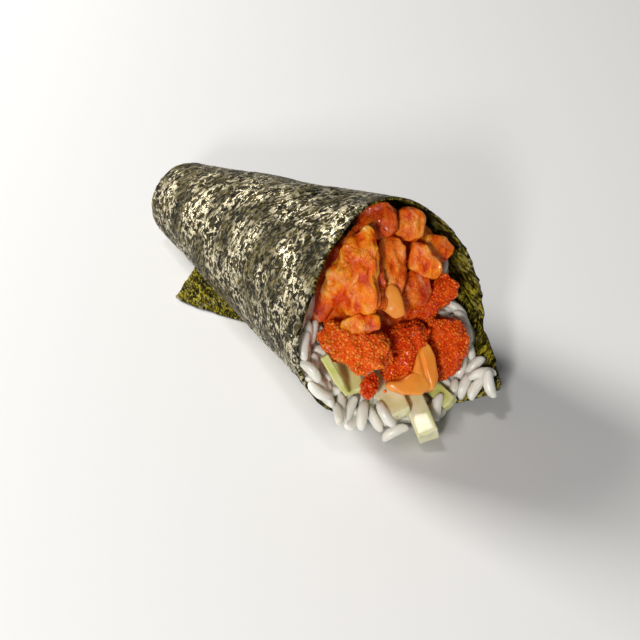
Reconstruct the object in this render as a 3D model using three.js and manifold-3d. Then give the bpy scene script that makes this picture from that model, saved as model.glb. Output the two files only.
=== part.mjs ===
// A temaki hand roll: a half sheet of roasted seaweed rolled into a cone that lies on its side.
// Rice lines the cone, and salmon, fish roe, cucumber sticks and a thick sauce fill its mouth.
// Lengths are in millimetres and angles in degrees. +X runs from the tip to the mouth, +Z is up.
import * as THREE from 'three';
import { mergeVertices } from 'three/addons/utils/BufferGeometryUtils.js';
import Module from 'manifold-3d';

const wasm = await Module();
wasm.setup();
const { Manifold } = wasm;

// Driving dimensions of the rolled sheet. A slant is a distance along the cone from its apex.
// A wrap angle of 0 is the line that the roll rests on, 90 its front, 180 its top, 270 its back.
const HALF_ANGLE = 10.2075;
const TIP_SLANT = 70;
const SHEET_THICKNESS = 0.6;
const WRAP_PITCH = 1.1;
const WRAP_START = -76.5;
const WRAP_STEP = 9;
const WRAP_STEPS = 57;
const SLANT_STEPS = 8;
const FULLNESS = 0.3;
const SETTLE = 0.9;
const LAYER_GAP = 0.4;
const GAP = 0.35;

// Corners of the half sheet: where the outer layer ends at the mouth, and the loose flap.
const END_CORNER = { wrap: 301.5, slant: 185 };
const FLAP_CORNER = { wrap: 436.5, slant: 102.1 };
const TIP_EDGE_WRAP = 283.5;
const END_EDGE_BOW = 4.7;
const FLAP_CURL = 0.8;
const CORNER_TRIM = 1.4;

// Where the first turn climbs onto the flap and comes down off it, as x over y on the floor.
const FLAP_TIP_SIDE = { from: 76, to: 83, skew: -0.7 };
const FLAP_MOUTH_SIDE = { from: 134, to: 142, skew: 1.1 };

// The sheet's slow waves: height, waves per turn and slant over which one passes. They fade in from the tip.
const BROAD_WAVE = { height: 0.3, turns: 3, slant: 11 };
const FINE_WAVE = { height: 0.18, turns: 5, slant: -6 };
const WAVES_FULL_SLANT = 110;
const EDGE_SAMPLES = 400;

// The mouth's edge, as slant over wrap angle: long at the tongue and the front, short at the top.
const RIM = [
  [-76.5, 176], [-40.5, 199.5], [-18, 188], [13.5, 184], [27, 178], [36, 178], [58.5, 181], [76, 178],
  [121.5, 183], [175.5, 174.5], [220.5, 169.5], [261, 177], [301.5, 185],
];

// Rice: the lining's depth inside the edge, its face, and one grain.
const RICE_INSET = { mean: 5, swing: 6.8, wrap: 18 };
const RICE_FACE = { depth: 158, bulge: 5, ease: 1.6, ripple: 2, ripples: 4 };
const BARE_TONGUE = { length: 7, from: -62, full: -46, until: -34, to: -16 };
const GRAIN = { length: 7.6, width: 2.9, sides: 5, rings: 3, fullness: 1.04, bluntness: 1.25 };
const GRAIN_TRIES = 900;
const GRAIN_COUNT = 60;

const rad = THREE.MathUtils.degToRad;
const sinA = Math.sin(rad(HALF_ANGLE));
const cosA = Math.cos(rad(HALF_ANGLE));

// A seeded draw, so that every build is alike.
function makeRandom(seed) {
  let state = seed;
  return () => {
    state = (state * 1664525 + 1013904223) % 4294967296;
    return state / 4294967296;
  };
}

function lerpTable(table, at) {
  const last = table.length - 1;
  let k = 1;
  while (k < last && table[k][0] < at) k += 1;
  const [a0, v0] = table[k - 1];
  const [a1, v1] = table[k];
  return THREE.MathUtils.mapLinear(at, a0, a1, v0, v1);
}

// The sheet unrolled: a point's slant and its flat angle, as plane coordinates.
function unrolled({ wrap, slant }) {
  const flat = rad(wrap * sinA);
  return new THREE.Vector2(slant * Math.cos(flat), slant * Math.sin(flat));
}

// The slant at which a straight edge of the unrolled sheet, bowed by a little, meets a wrap angle.
function edgeSlant(from, to, wrap, bow) {
  const p = unrolled(from);
  const q = unrolled(to);
  const side = new THREE.Vector2(q.y - p.y, p.x - q.x).normalize();
  const flat = rad(wrap * sinA);
  let slant = from.slant;
  let nearest = Infinity;
  for (let k = 0; k <= EDGE_SAMPLES; k += 1) {
    const t = k / EDGE_SAMPLES;
    const point = p.clone().lerp(q, t).addScaledVector(side, 4 * bow * t * (1 - t));
    const miss = Math.abs(Math.atan2(point.y, point.x) - flat);
    if (miss < nearest) {
      nearest = miss;
      slant = point.length();
    }
  }
  return slant;
}

function slantRange(wrap) {
  let low = TIP_SLANT;
  let high = lerpTable(RIM, Math.min(wrap, END_CORNER.wrap));
  if (wrap > END_CORNER.wrap) high = edgeSlant(END_CORNER, FLAP_CORNER, wrap, END_EDGE_BOW);
  if (wrap > TIP_EDGE_WRAP) {
    low = edgeSlant({ wrap: TIP_EDGE_WRAP, slant: TIP_SLANT }, FLAP_CORNER, wrap, 0);
  }
  if (wrap >= FLAP_CORNER.wrap) {
    low = FLAP_CORNER.slant - CORNER_TRIM / 2;
    high = FLAP_CORNER.slant + CORNER_TRIM / 2;
  }
  return [low, high];
}

// The sheet's slow waves, alike on layers that lie on each other.
function wave(slant, wrap) {
  const broad = BROAD_WAVE.height * Math.sin(rad(BROAD_WAVE.turns * wrap) + slant / BROAD_WAVE.slant);
  const fine = FINE_WAVE.height * Math.sin(rad(FINE_WAVE.turns * wrap) + slant / FINE_WAVE.slant + 2);
  return (broad + fine) * THREE.MathUtils.smoothstep(slant, TIP_SLANT, WAVES_FULL_SLANT);
}

function crossing(x, y, { from, to, skew }) {
  return THREE.MathUtils.smoothstep(x, from + skew * y, to + skew * y);
}

// How high the floor stands under the sheet: the first turn crosses over the flap.
function floorUnder(x, y, wrap) {
  if (wrap > TIP_EDGE_WRAP) return 0;
  const onFlap = crossing(x, y, FLAP_TIP_SIDE) * (1 - crossing(x, y, FLAP_MOUTH_SIDE));
  return (SHEET_THICKNESS + LAYER_GAP) * onFlap;
}

// A point given by its height along the roll's axis, radius and wrap angle, let down onto the floor.
function onRoll(h, radius, wrap, depth) {
  const across = -radius * Math.sin(rad(wrap));
  const above = -radius * Math.cos(rad(wrap));
  const x = h * cosA - above * sinA;
  const z = h * sinA + above * cosA - SETTLE;
  return new THREE.Vector3(x, across, Math.max(z, floorUnder(x, across, wrap) + depth));
}

// How far a turn lies inside the cone's mean surface, which the top of the roll keeps to.
function layerDepth(wrap) {
  return WRAP_PITCH * (180 - wrap) / 360 - FULLNESS;
}

// A point of the sheet, some depth below its outer face. Past a full turn the sheet lies flat.
function sheetPoint(slant, wrap, depth) {
  if (wrap > 360) {
    const turn = rad((wrap - 360) * sinA);
    const curl = FLAP_CURL * ((wrap - 360) / (FLAP_CORNER.wrap - 360)) ** 2;
    return new THREE.Vector3(slant * Math.cos(turn), -slant * Math.sin(turn), curl + depth);
  }
  const inward = depth + layerDepth(wrap) - wave(slant, wrap);
  return onRoll(slant * cosA + inward * sinA, slant * sinA - inward * cosA, wrap, depth);
}

// The tip is tucked in: rows from its middle outwards, as share of the radius, bulge and lean.
const TUCK = [
  { reach: 0.1, bulge: 0.9, lean: 0 },
  { reach: 0.52, bulge: 2.1, lean: 0.15 },
  { reach: 0.88, bulge: 1.3, lean: 0.7 },
];
const PLEATS = 7;
const PLEAT_DEPTH = 0.45;

function tuckPoint({ reach, bulge, lean }, wrap, depth) {
  const pleat = PLEAT_DEPTH * Math.sin(rad(PLEATS * wrap)) * reach;
  const h = TIP_SLANT * cosA - bulge - pleat + depth * (1 - lean);
  const radius = reach * (TIP_SLANT * sinA - layerDepth(wrap)) - depth * lean;
  return onRoll(h, radius, wrap, depth);
}

// Closes a grid of points on two faces, with their four edges, into one thin solid.
function closeSheet(outer, inner) {
  const columns = outer.length;
  const rows = outer[0].length;
  const positions = [];
  const index = [];
  for (const p of [outer, inner].flat(2)) positions.push(p.x, p.y, p.z);
  const id = (side, c, r) => side * columns * rows + c * rows + r;
  for (let c = 0; c < columns - 1; c += 1) {
    for (let r = 0; r < rows - 1; r += 1) {
      index.push(id(0, c, r), id(0, c, r + 1), id(0, c + 1, r + 1));
      index.push(id(0, c, r), id(0, c + 1, r + 1), id(0, c + 1, r));
      index.push(id(1, c, r), id(1, c + 1, r + 1), id(1, c, r + 1));
      index.push(id(1, c, r), id(1, c + 1, r), id(1, c + 1, r + 1));
    }
  }
  const border = [];
  for (let c = 0; c < columns - 1; c += 1) border.push([c, 0]);
  for (let r = 0; r < rows - 1; r += 1) border.push([columns - 1, r]);
  for (let c = columns - 1; c > 0; c -= 1) border.push([c, rows - 1]);
  for (let r = rows - 1; r > 0; r -= 1) border.push([0, r]);
  border.forEach(([c, r], k) => {
    const [c2, r2] = border[(k + 1) % border.length];
    index.push(id(0, c, r), id(0, c2, r2), id(1, c2, r2));
    index.push(id(0, c, r), id(1, c2, r2), id(1, c, r));
  });
  const geometry = new THREE.BufferGeometry();
  geometry.setAttribute('position', new THREE.Float32BufferAttribute(positions, 3));
  geometry.setIndex(index);
  return geometry;
}

// The rolled sheet, made thicker by a clearance on both faces when something is to be kept off it.
function rolledSheet(clearance, lastStep) {
  const outer = [];
  const inner = [];
  for (let c = 0; c <= lastStep; c += 1) {
    const wrap = WRAP_START + c * WRAP_STEP;
    const [low, high] = slantRange(wrap);
    const tucked = wrap > WRAP_START + WRAP_STEP / 2 && wrap < TIP_EDGE_WRAP - WRAP_STEP / 2;
    const rows = SLANT_STEPS + (tucked ? 0 : TUCK.length);
    const faces = [-clearance, SHEET_THICKNESS + clearance].map((depth) => {
      const column = tucked ? TUCK.map((row) => tuckPoint(row, wrap, depth)) : [];
      for (let r = 0; r <= rows; r += 1) {
        const slant = THREE.MathUtils.lerp(low, high + clearance, r / rows);
        column.push(sheetPoint(slant, wrap, depth));
      }
      return column;
    });
    outer.push(faces[0]);
    inner.push(faces[1]);
  }
  return closeSheet(outer, inner);
}

function toManifold(geometry) {
  const bare = geometry.clone();
  bare.deleteAttribute('normal');
  bare.deleteAttribute('uv');
  const merged = mergeVertices(bare, 1e-5);
  const mesh = new wasm.Mesh({
    numProp: 3,
    vertProperties: new Float32Array(merged.attributes.position.array),
    triVerts: new Uint32Array(merged.index.array),
  });
  return new Manifold(mesh);
}

function toGeometry(solid) {
  const mesh = solid.getMesh();
  const geometry = new THREE.BufferGeometry();
  geometry.setAttribute('position', new THREE.Float32BufferAttribute(mesh.vertProperties, 3));
  geometry.setIndex(Array.from(mesh.triVerts));
  return geometry;
}

// The largest body of a solid that a cut has left in pieces.
function largest(solid) {
  const bodies = solid.decompose();
  return bodies.reduce((best, body) => (body.volume() > best.volume() ? body : best), bodies[0]);
}

// The filling is laid out as it is seen when looking into the mouth, from the front and above:
// right and up across that view, and lift towards the eye, all from a point on the roll's axis.
const MOUTH = { along: 178, slope: 0.3 };
const VIEW_TURN = 52.8;
const VIEW_HEIGHT = 37;
const axis = new THREE.Vector3(cosA, 0, sinA);
const rise = new THREE.Vector3(-sinA, 0, cosA);
const viewRight = new THREE.Vector3(Math.cos(rad(VIEW_TURN)), Math.sin(rad(VIEW_TURN)), 0);
const viewBack = new THREE.Vector3(
  Math.sin(rad(VIEW_TURN)) * Math.cos(rad(VIEW_HEIGHT)),
  -Math.cos(rad(VIEW_TURN)) * Math.cos(rad(VIEW_HEIGHT)),
  Math.sin(rad(VIEW_HEIGHT)),
);
const viewUp = new THREE.Vector3().crossVectors(viewBack, viewRight);
const mouthCentre = axis.clone().multiplyScalar(MOUTH.along).add(new THREE.Vector3(0, 0, -SETTLE));
const mouthNormal = axis.clone().addScaledVector(rise, MOUTH.slope);

// A point of the mouth's face, seen at right and up, and lifted off that face towards the eye.
function inMouth(right, up, lift) {
  const flat = viewRight.clone().multiplyScalar(right).addScaledVector(viewUp, up);
  const towards = lift - flat.dot(mouthNormal) / viewBack.dot(mouthNormal);
  return mouthCentre.clone().add(flat).addScaledVector(viewBack, towards);
}

// A soft chunk: a rounded block with an uneven skin, whose far side runs on into the roll.
const CHUNK_SQUARENESS = 2.7;
const CHUNK_PHASE = { right: 1.7, up: 0.9 };
const DEPTH_SWELL = 0.7;
const TAIL_EASE = 1.5;

function chunk(spec, grow = 0) {
  const { at, half, turn = 0, lean = 0, tail = 0, taper = 0.2, rough = 0.08, bumps = 2.3, detail = 2 } = spec;
  const geometry = new THREE.IcosahedronGeometry(1, detail);
  const place = geometry.attributes.position;
  const centre = inMouth(...at);
  const spin = new THREE.Quaternion().setFromAxisAngle(viewBack, rad(turn));
  spin.premultiply(new THREE.Quaternion().setFromAxisAngle(viewUp, rad(lean)));
  const basis = [viewRight, viewUp, viewBack].map((v) => v.clone().applyQuaternion(spin));
  const phase = at[0] * CHUNK_PHASE.right + at[1] * CHUNK_PHASE.up;
  const p = new THREE.Vector3();
  for (let k = 0; k < place.count; k += 1) {
    p.fromBufferAttribute(place, k).normalize();
    const powers = p.toArray().reduce((sum, c) => sum + Math.abs(c) ** CHUNK_SQUARENESS, 0);
    const swell = 1 + rough * Math.sin(bumps * 2 * p.x + phase) * Math.sin(bumps * 2 * p.y - phase)
      + rough * DEPTH_SWELL * Math.sin(bumps * 3 * p.z + 2 * phase);
    p.multiplyScalar(swell / powers ** (1 / CHUNK_SQUARENESS));
    const inside = Math.max(0, -p.z) ** TAIL_EASE;
    const point = centre.clone();
    basis.forEach((v, i) => point.addScaledVector(v, p.getComponent(i) * (half[i] + grow)));
    const alongRoll = axis.dot(point);
    const offAxis = point.clone().addScaledVector(axis, -alongRoll);
    offAxis.z += SETTLE;
    point.addScaledVector(axis, -inside * (tail + grow));
    point.addScaledVector(offAxis, -inside * taper);
    place.setXYZ(k, point.x, point.y, point.z);
  }
  return toManifold(geometry);
}

// A cucumber stick with square or pointed end, given by its outer end's middle and its direction.
// It narrows to its point over the outer part of its length, and its long edges are a little blunt.
const NARROWS = { from: 0.55, to: 1 };
const BLUNT_EDGE = { beyond: 0.4, scale: 0.93 };

function stick({ end, back, length, width, thick, point = 1 }, grow = 0) {
  const forward = inMouth(...end).sub(inMouth(...back)).normalize();
  const across = new THREE.Vector3().crossVectors(viewBack, forward).normalize();
  const up = new THREE.Vector3().crossVectors(forward, across);
  const geometry = new THREE.BoxGeometry(length + 2 * grow, width + 2 * grow, thick + 2 * grow, 4, 2, 2);
  const place = geometry.attributes.position;
  const p = new THREE.Vector3();
  const outerEnd = inMouth(...end);
  for (let k = 0; k < place.count; k += 1) {
    p.fromBufferAttribute(place, k);
    const t = THREE.MathUtils.clamp(p.x / length + 0.5, 0, 1);
    const narrow = THREE.MathUtils.lerp(1, point, THREE.MathUtils.smoothstep(t, NARROWS.from, NARROWS.to));
    const atEdge = Math.abs(p.y) > width * BLUNT_EDGE.beyond && Math.abs(p.z) > thick * BLUNT_EDGE.beyond;
    const corner = atEdge ? BLUNT_EDGE.scale : 1;
    const q = outerEnd.clone().addScaledVector(forward, p.x - length / 2);
    q.addScaledVector(across, p.y * narrow * corner);
    q.addScaledVector(up, p.z * narrow * corner);
    place.setXYZ(k, q.x, q.y, q.z);
  }
  return toManifold(geometry);
}

const STICKS = [
  { end: [-12.4, -22.6, 2.5], back: [-18.2, -12.8, 1.5], length: 13.5, width: 2.4, thick: 1.8, point: 0.3 },
  { end: [-9.8, -21.6, -0.5], back: [-13, -14, -7], length: 20, width: 6, thick: 2.6, point: 0.9 },
  { end: [2.4, -28.4, 3.4], back: [-3.4, -16.4, -9], length: 38, width: 7.6, thick: 4.8, point: 0.95 },
  { end: [10.5, -33.8, 10], back: [5, -20.5, -3.6], length: 44, width: 6, thick: 5, point: 1 },
  { end: [17.2, -25, 4.5], back: [10.4, -19.2, -5], length: 30, width: 5, thick: 3.8, point: 0.9 },
];

const SALMON = [
  { at: [-11.2, 11, 1.5], half: [7.6, 11.6, 4.5], turn: -14, lean: -12, tail: 7, rough: 0.07, detail: 3 },
  { at: [-0.6, 13.4, -0.5], half: [4, 8, 4], turn: 4, tail: 6 },
  { at: [8.9, 15.6, 1], half: [5.6, 6.4, 4.6], turn: 20, lean: 10, tail: 6 },
  { at: [6, 7.2, -0.5], half: [4.3, 5.2, 4], turn: -10, tail: 5 },
  { at: [13.8, 19.4, -1], half: [6.2, 3.9, 2.4], turn: 12, lean: 18, tail: 4 },
  { at: [4.4, 25, -3], half: [4.2, 4.8, 4], turn: -8, tail: 5 },
  { at: [-4.8, 25.6, -4.5], half: [5.2, 5.2, 4.2], turn: 8, tail: 6 },
  { at: [-18.4, 7, -5], half: [4, 12, 4.5], turn: -12, tail: 6 },
  { at: [-9.2, -3.2, 2.5], half: [5.4, 2.7, 3], turn: 14, tail: 3 },
];

// The rest of the salmon, packed behind the chunks that show and running down the roll.
const SALMON_HEART = { at: [-8.5, 8, -16], half: [15, 15, 6], tail: 52, taper: 0.5 };

const ROE = [
  { at: [-11, -9.2, 0], half: [9.8, 7.6, 6.4], turn: -6, tail: 3, rough: 0.13, bumps: 3.1 },
  { at: [4.3, -10.2, -0.5], half: [7, 8.4, 6], turn: 8, tail: 3, rough: 0.14, bumps: 3.3 },
  { at: [14.8, -7.6, -1], half: [7.6, 10.4, 5.4], turn: 8, tail: 3, rough: 0.12, bumps: 3.2 },
  { at: [12.6, 6, -3], half: [7.6, 6.8, 4.6], turn: 10, tail: 3, rough: 0.12, bumps: 3 },
  { at: [-6.8, -20.6, 1.5], half: [2, 2.5, 1.8], rough: 0.12, detail: 1 },
];

const SAUCE = [
  { at: [-0.5, 3.4, 3], half: [4.1, 5, 2.6], turn: 8, tail: 3, rough: 0.05, bumps: 1.6 },
  { at: [8.6, -13.4, 4], half: [4.1, 7.6, 3.6], turn: -14, tail: 3, rough: 0.06, bumps: 1.5 },
];
const SAUCE_FOOT = { at: [3.4, -19.4, 3.4], half: [7.4, 3, 2.8], turn: 8, tail: 3, rough: 0.05, bumps: 1.5 };

// The rice lining: the cone's inside from tip to mouth, with a face that is deeper at the top.
const LINING_COLUMNS = 20;
const LINING_ROWS = 8;
const LINING_GAP = GAP + 0.1;
const LINING_START = TIP_SLANT + 2.2;
const FACE_RINGS = [0.82, 0.6, 0.34];

// Where the rice ends short of the rim. It leaves the tongue of the sheet bare.
function liningEnd(wrap) {
  const { from, full, until, to } = BARE_TONGUE;
  const swing = RICE_INSET.swing * Math.cos(rad(wrap - RICE_INSET.wrap));
  const inset = RICE_INSET.mean - swing;
  const rise = THREE.MathUtils.smoothstep(wrap, from, full);
  const fall = THREE.MathUtils.smoothstep(wrap, until, to);
  return lerpTable(RIM, wrap) - inset - BARE_TONGUE.length * rise * (1 - fall);
}

function facePoint(wrap, share) {
  const edge = sheetPoint(liningEnd(wrap), wrap, SHEET_THICKNESS + LINING_GAP);
  const middle = axis.clone().multiplyScalar(RICE_FACE.depth).add(new THREE.Vector3(0, 0, -SETTLE));
  const sunk = RICE_FACE.bulge * (share - share ** RICE_FACE.ease);
  const ripple = RICE_FACE.ripple * Math.sin(rad(RICE_FACE.ripples * wrap)) * share * (1 - share);
  return middle.lerp(edge, share).addScaledVector(axis, sunk + ripple);
}

function riceLining() {
  const rings = [];
  const wraps = Array.from({ length: LINING_COLUMNS }, (_, c) => WRAP_START + c * 360 / LINING_COLUMNS);
  const depth = SHEET_THICKNESS + LINING_GAP;
  for (let r = 0; r < LINING_ROWS; r += 1) {
    rings.push(wraps.map((wrap) => {
      const slant = THREE.MathUtils.lerp(LINING_START, liningEnd(wrap), r / (LINING_ROWS - 1));
      return sheetPoint(slant, wrap, depth);
    }));
  }
  for (const share of FACE_RINGS) rings.push(wraps.map((wrap) => facePoint(wrap, share)));
  const positions = rings.flat().flatMap((p) => p.toArray());
  const tipCentre = rings[0].reduce((sum, p) => sum.add(p), new THREE.Vector3()).divideScalar(LINING_COLUMNS);
  positions.push(...tipCentre.toArray(), ...facePoint(0, 0).toArray());
  const index = [];
  const id = (r, c) => r * LINING_COLUMNS + (c % LINING_COLUMNS);
  const tipId = rings.length * LINING_COLUMNS;
  for (let c = 0; c < LINING_COLUMNS; c += 1) {
    for (let r = 0; r < rings.length - 1; r += 1) {
      index.push(id(r, c), id(r + 1, c), id(r + 1, c + 1));
      index.push(id(r, c), id(r + 1, c + 1), id(r, c + 1));
    }
    index.push(tipId, id(0, c), id(0, c + 1));
    index.push(tipId + 1, id(rings.length - 1, c + 1), id(rings.length - 1, c));
  }
  const geometry = new THREE.BufferGeometry();
  geometry.setAttribute('position', new THREE.Float32BufferAttribute(positions, 3));
  geometry.setIndex(index);
  return toManifold(geometry);
}

// One grain: a blunt spindle of a few sides.
function grain(centre, direction, twist, grow = 0) {
  const half = GRAIN.length / 2 + grow;
  const profile = [new THREE.Vector2(0, -half)];
  for (let k = 1; k <= GRAIN.rings; k += 1) {
    const t = -1 + 2 * k / (GRAIN.rings + 1);
    const radius = (GRAIN.width / 2 + grow) * Math.sqrt(1 - t * t) * GRAIN.fullness;
    profile.push(new THREE.Vector2(radius, half * t * GRAIN.bluntness));
  }
  profile.push(new THREE.Vector2(0, half));
  const geometry = new THREE.LatheGeometry(profile, GRAIN.sides);
  const turn = new THREE.Quaternion().setFromUnitVectors(new THREE.Vector3(0, 1, 0), direction);
  geometry.rotateY(twist);
  geometry.applyQuaternion(turn);
  geometry.translate(centre.x, centre.y, centre.z);
  return toManifold(geometry);
}

// The grains that show, set on the face of the lining wherever they clear the filling and the sheet.
const GRAIN_BAND = { from: -74, to: 112, inner: 0.5, outer: 1, crowdFrom: 1.5, crowdOuter: 1.4, proud: 0.3 };
const GRAIN_HOLD = 3;
const GOLDEN_SHARE = 0.618034;

function riceGrains(lining, keepOff) {
  const random = makeRandom(7);
  const grains = [];
  for (let k = 0; k < GRAIN_TRIES && grains.length < GRAIN_COUNT; k += 1) {
    const drawn = ((k * GOLDEN_SHARE) % 1) ** GRAIN_BAND.crowdFrom;
    const wrap = THREE.MathUtils.lerp(GRAIN_BAND.from, GRAIN_BAND.to, drawn);
    const share = THREE.MathUtils.lerp(GRAIN_BAND.outer, GRAIN_BAND.inner, random() ** GRAIN_BAND.crowdOuter);
    const direction = new THREE.Vector3(random() - 0.5, random() - 0.5, random() - 0.5).normalize();
    const twist = random() * Math.PI;
    const centre = facePoint(wrap, share).addScaledVector(viewBack, GRAIN_BAND.proud + random());
    centre.z = Math.max(centre.z, GRAIN.width);
    if (grain(centre, direction, twist, GAP).intersect(keepOff).volume() > 0) continue;
    if (grain(centre, direction, twist).intersect(lining).volume() < GRAIN_HOLD) continue;
    grains.push(grain(centre, direction, twist));
  }
  return grains;
}

// Each piece of the filling is cut clear of those that lie before it and of the sheet.
const TURN_STEPS = 360 / WRAP_STEP;
const sheetKeepOff = toManifold(rolledSheet(GAP, TURN_STEPS));
let keepOff = sheetKeepOff;
const filling = [];

function addFilling(name, solid, grown) {
  filling.push([name, largest(solid.subtract(keepOff))]);
  keepOff = keepOff.add(grown);
}

STICKS.forEach((spec, k) => addFilling(`cucumber_${k + 1}`, stick(spec), stick(spec, GAP)));
SALMON.forEach((spec, k) => addFilling(`salmon_${k + 1}`, chunk(spec), chunk(spec, GAP)));
ROE.forEach((spec, k) => addFilling(`roe_${k + 1}`, chunk(spec), chunk(spec, GAP)));
addFilling('sauce_1', chunk(SAUCE[0]), chunk(SAUCE[0], GAP));
addFilling(
  'sauce_2',
  chunk(SAUCE[1]).add(chunk(SAUCE_FOOT)),
  chunk(SAUCE[1], GAP).add(chunk(SAUCE_FOOT, GAP)),
);

addFilling('salmon_heart', chunk(SALMON_HEART), chunk(SALMON_HEART, GAP));

const lining = riceLining().subtract(keepOff);
const rice = largest(Manifold.union([lining, ...riceGrains(lining, keepOff)]));

// Finishes, by the first word of a node's name.
const FINISH = {
  nori: { color: 0x23271a, roughness: 0.45 },
  rice: { color: 0xe9e6df, roughness: 0.4 },
  cucumber: { color: 0xe4e3a8, roughness: 0.35 },
  salmon: { color: 0xe8641c, roughness: 0.25 },
  roe: { color: 0xe2450f, roughness: 0.25 },
  sauce: { color: 0xf2a050, roughness: 0.2 },
};

const roll = new THREE.Group();

function addPiece(name, geometry) {
  const finish = FINISH[name.split('_')[0]];
  const mesh = new THREE.Mesh(geometry, new THREE.MeshStandardMaterial({ ...finish, metalness: 0 }));
  mesh.name = name;
  roll.add(mesh);
}

addPiece('nori', rolledSheet(0, WRAP_STEPS));
addPiece('rice', toGeometry(rice));
filling.forEach(([name, solid]) => addPiece(name, toGeometry(solid)));

// The origin is under the middle of the roll, on the surface that it lies on.
const box = new THREE.Box3().setFromObject(roll);
const middle = box.getCenter(new THREE.Vector3());
roll.position.set(-middle.x, -middle.y, -box.min.z);

const handRoll = new THREE.Group();
handRoll.add(roll);

export default handRoll;
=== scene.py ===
"""The looks of a temaki hand roll that lies on its side: seaweed, rice, salmon, roe, cucumber and sauce."""
import math

import bpy
import numpy as np
from mathutils import Matrix, Vector
from mathutils.bvhtree import BVHTree
from mathutils.kdtree import KDTree


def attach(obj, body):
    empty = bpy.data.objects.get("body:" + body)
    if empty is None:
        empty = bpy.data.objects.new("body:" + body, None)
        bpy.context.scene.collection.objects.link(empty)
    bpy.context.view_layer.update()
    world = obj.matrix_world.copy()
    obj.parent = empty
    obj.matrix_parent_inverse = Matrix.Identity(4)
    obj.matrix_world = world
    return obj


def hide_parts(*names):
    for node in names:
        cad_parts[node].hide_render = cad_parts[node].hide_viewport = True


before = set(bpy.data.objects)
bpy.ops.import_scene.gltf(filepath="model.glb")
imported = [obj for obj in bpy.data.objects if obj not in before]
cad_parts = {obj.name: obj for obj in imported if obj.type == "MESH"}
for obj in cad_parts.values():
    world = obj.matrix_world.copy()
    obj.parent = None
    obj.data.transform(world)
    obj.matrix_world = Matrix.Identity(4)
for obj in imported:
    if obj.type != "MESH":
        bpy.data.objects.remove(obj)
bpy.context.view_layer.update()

# The wrapper: a half sheet of roasted seaweed, pressed from chopped fronds, so it is stringy and full of
# thin spots. It is rolled dry round the rice into a cone, its last corner lying loose beside the tip.
MM = 0.001
HALF_ANGLE = math.radians(10.2075)
SIN_A = math.sin(HALF_ANGLE)
COS_A = math.cos(HALF_ANGLE)
APEX = np.array((-131.898, -0.185, 0.0)) * MM
TIP_SLANT = 70 * MM
SHEET_THICKNESS = 0.6 * MM
WRAP_PITCH = 1.1 * MM
FULLNESS = 0.3 * MM
SETTLE = 0.9 * MM
LAYER_GAP = 0.4 * MM
CONE_BASE = APEX - np.array((0, 0, SETTLE))
FLAP_CURL = 0.8 * MM
WRAP_START = -76.5
TIP_EDGE_WRAP = 283.5
END_CORNER = (301.5, 185 * MM)
FLAP_CORNER = (436.5, 102.1 * MM)
END_EDGE_BOW = 4.7 * MM
RIM_WRAPS = (-76.5, -40.5, -18, 13.5, 27, 36, 58.5, 76, 121.5, 175.5, 220.5, 261, 301.5)
RIM_SLANTS = (176, 199.5, 188, 184, 178, 178, 181, 178, 183, 174.5, 169.5, 177, 185)
BROAD_WAVE, BROAD_LENGTH = 0.3 * MM, 11 * MM
FINE_WAVE, FINE_LENGTH = 0.18 * MM, 6 * MM
FULL_WAVE_SLANT = 110 * MM
# The roll lies on its own flap between two slanted lines, each its place at y = 0, its slope and its width.
FLAP_TIP_LINE = (76 * MM, -0.7, 7 * MM)
FLAP_MOUTH_LINE = (134 * MM, 1.1, 8 * MM)
TIP_BULGE, TIP_DIMPLE = 2.3 * MM, 1.4 * MM
PLEATS, PLEAT_DEPTH = 7, 0.45 * MM
SEAM_COLUMNS, SHEET_COLUMNS, FLAP_COLUMNS = 40, 286, 75
SHEET_ROWS = 163
TUCK_ROWS = 12
TUCK_REACH = (0.05, 0.985)
RAGGED_EDGE = 0.4 * MM
WIDE_WARP, FINE_WARP = 3.0 * MM, 0.9 * MM
SHEET_RELIEF = 0.24 * MM


def smoothstep(value, low, high):
    t = np.clip((value - low) / (high - low), 0, 1)
    return t * t * (3 - 2 * t)


def unrolled(wrap, slant):
    flat = np.radians(wrap) * SIN_A
    return np.array((slant * np.cos(flat), slant * np.sin(flat)))


def edge_slant(start, end, wrap, bow):
    """The slant at which a straight edge of the unrolled sheet, bowed by a little, meets each wrap angle."""
    p, q = unrolled(*start), unrolled(*end)
    side = np.array((q[1] - p[1], p[0] - q[0])) / np.linalg.norm(q - p)
    t = np.linspace(0, 1, 600)
    points = p[:, None] + (q - p)[:, None] * t + side[:, None] * 4 * bow * t * (1 - t)
    return np.interp(np.radians(wrap) * SIN_A, np.arctan2(points[1], points[0]), np.hypot(*points))


def rim_slant(wrap):
    """The mouth's edge, its corners a little rounded."""
    spread = np.linspace(-3, 3, 7)
    near = [np.interp(wrap + d, RIM_WRAPS, RIM_SLANTS) for d in spread]
    return np.mean(near, axis=0) * MM


def wave(slant, wrap):
    broad = BROAD_WAVE * np.sin(np.radians(3 * wrap) + slant / BROAD_LENGTH)
    fine = FINE_WAVE * np.sin(np.radians(5 * wrap) - slant / FINE_LENGTH + 2)
    return (broad + fine) * smoothstep(slant, TIP_SLANT, FULL_WAVE_SLANT)


def layer_depth(wrap):
    return WRAP_PITCH * (180 - wrap) / 360 - FULLNESS


def past_line(x, y, line):
    place, slope, width = line
    return smoothstep(x, place + slope * y, place + width + slope * y)


def floor_under(x, y, wrap):
    """How high the roll lies: on the surface, or on the layer of its own flap."""
    on_flap = past_line(x, y, FLAP_TIP_LINE) * (1 - past_line(x, y, FLAP_MOUTH_LINE))
    return np.where(wrap > TIP_EDGE_WRAP, 0, (SHEET_THICKNESS + LAYER_GAP) * on_flap)


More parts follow.
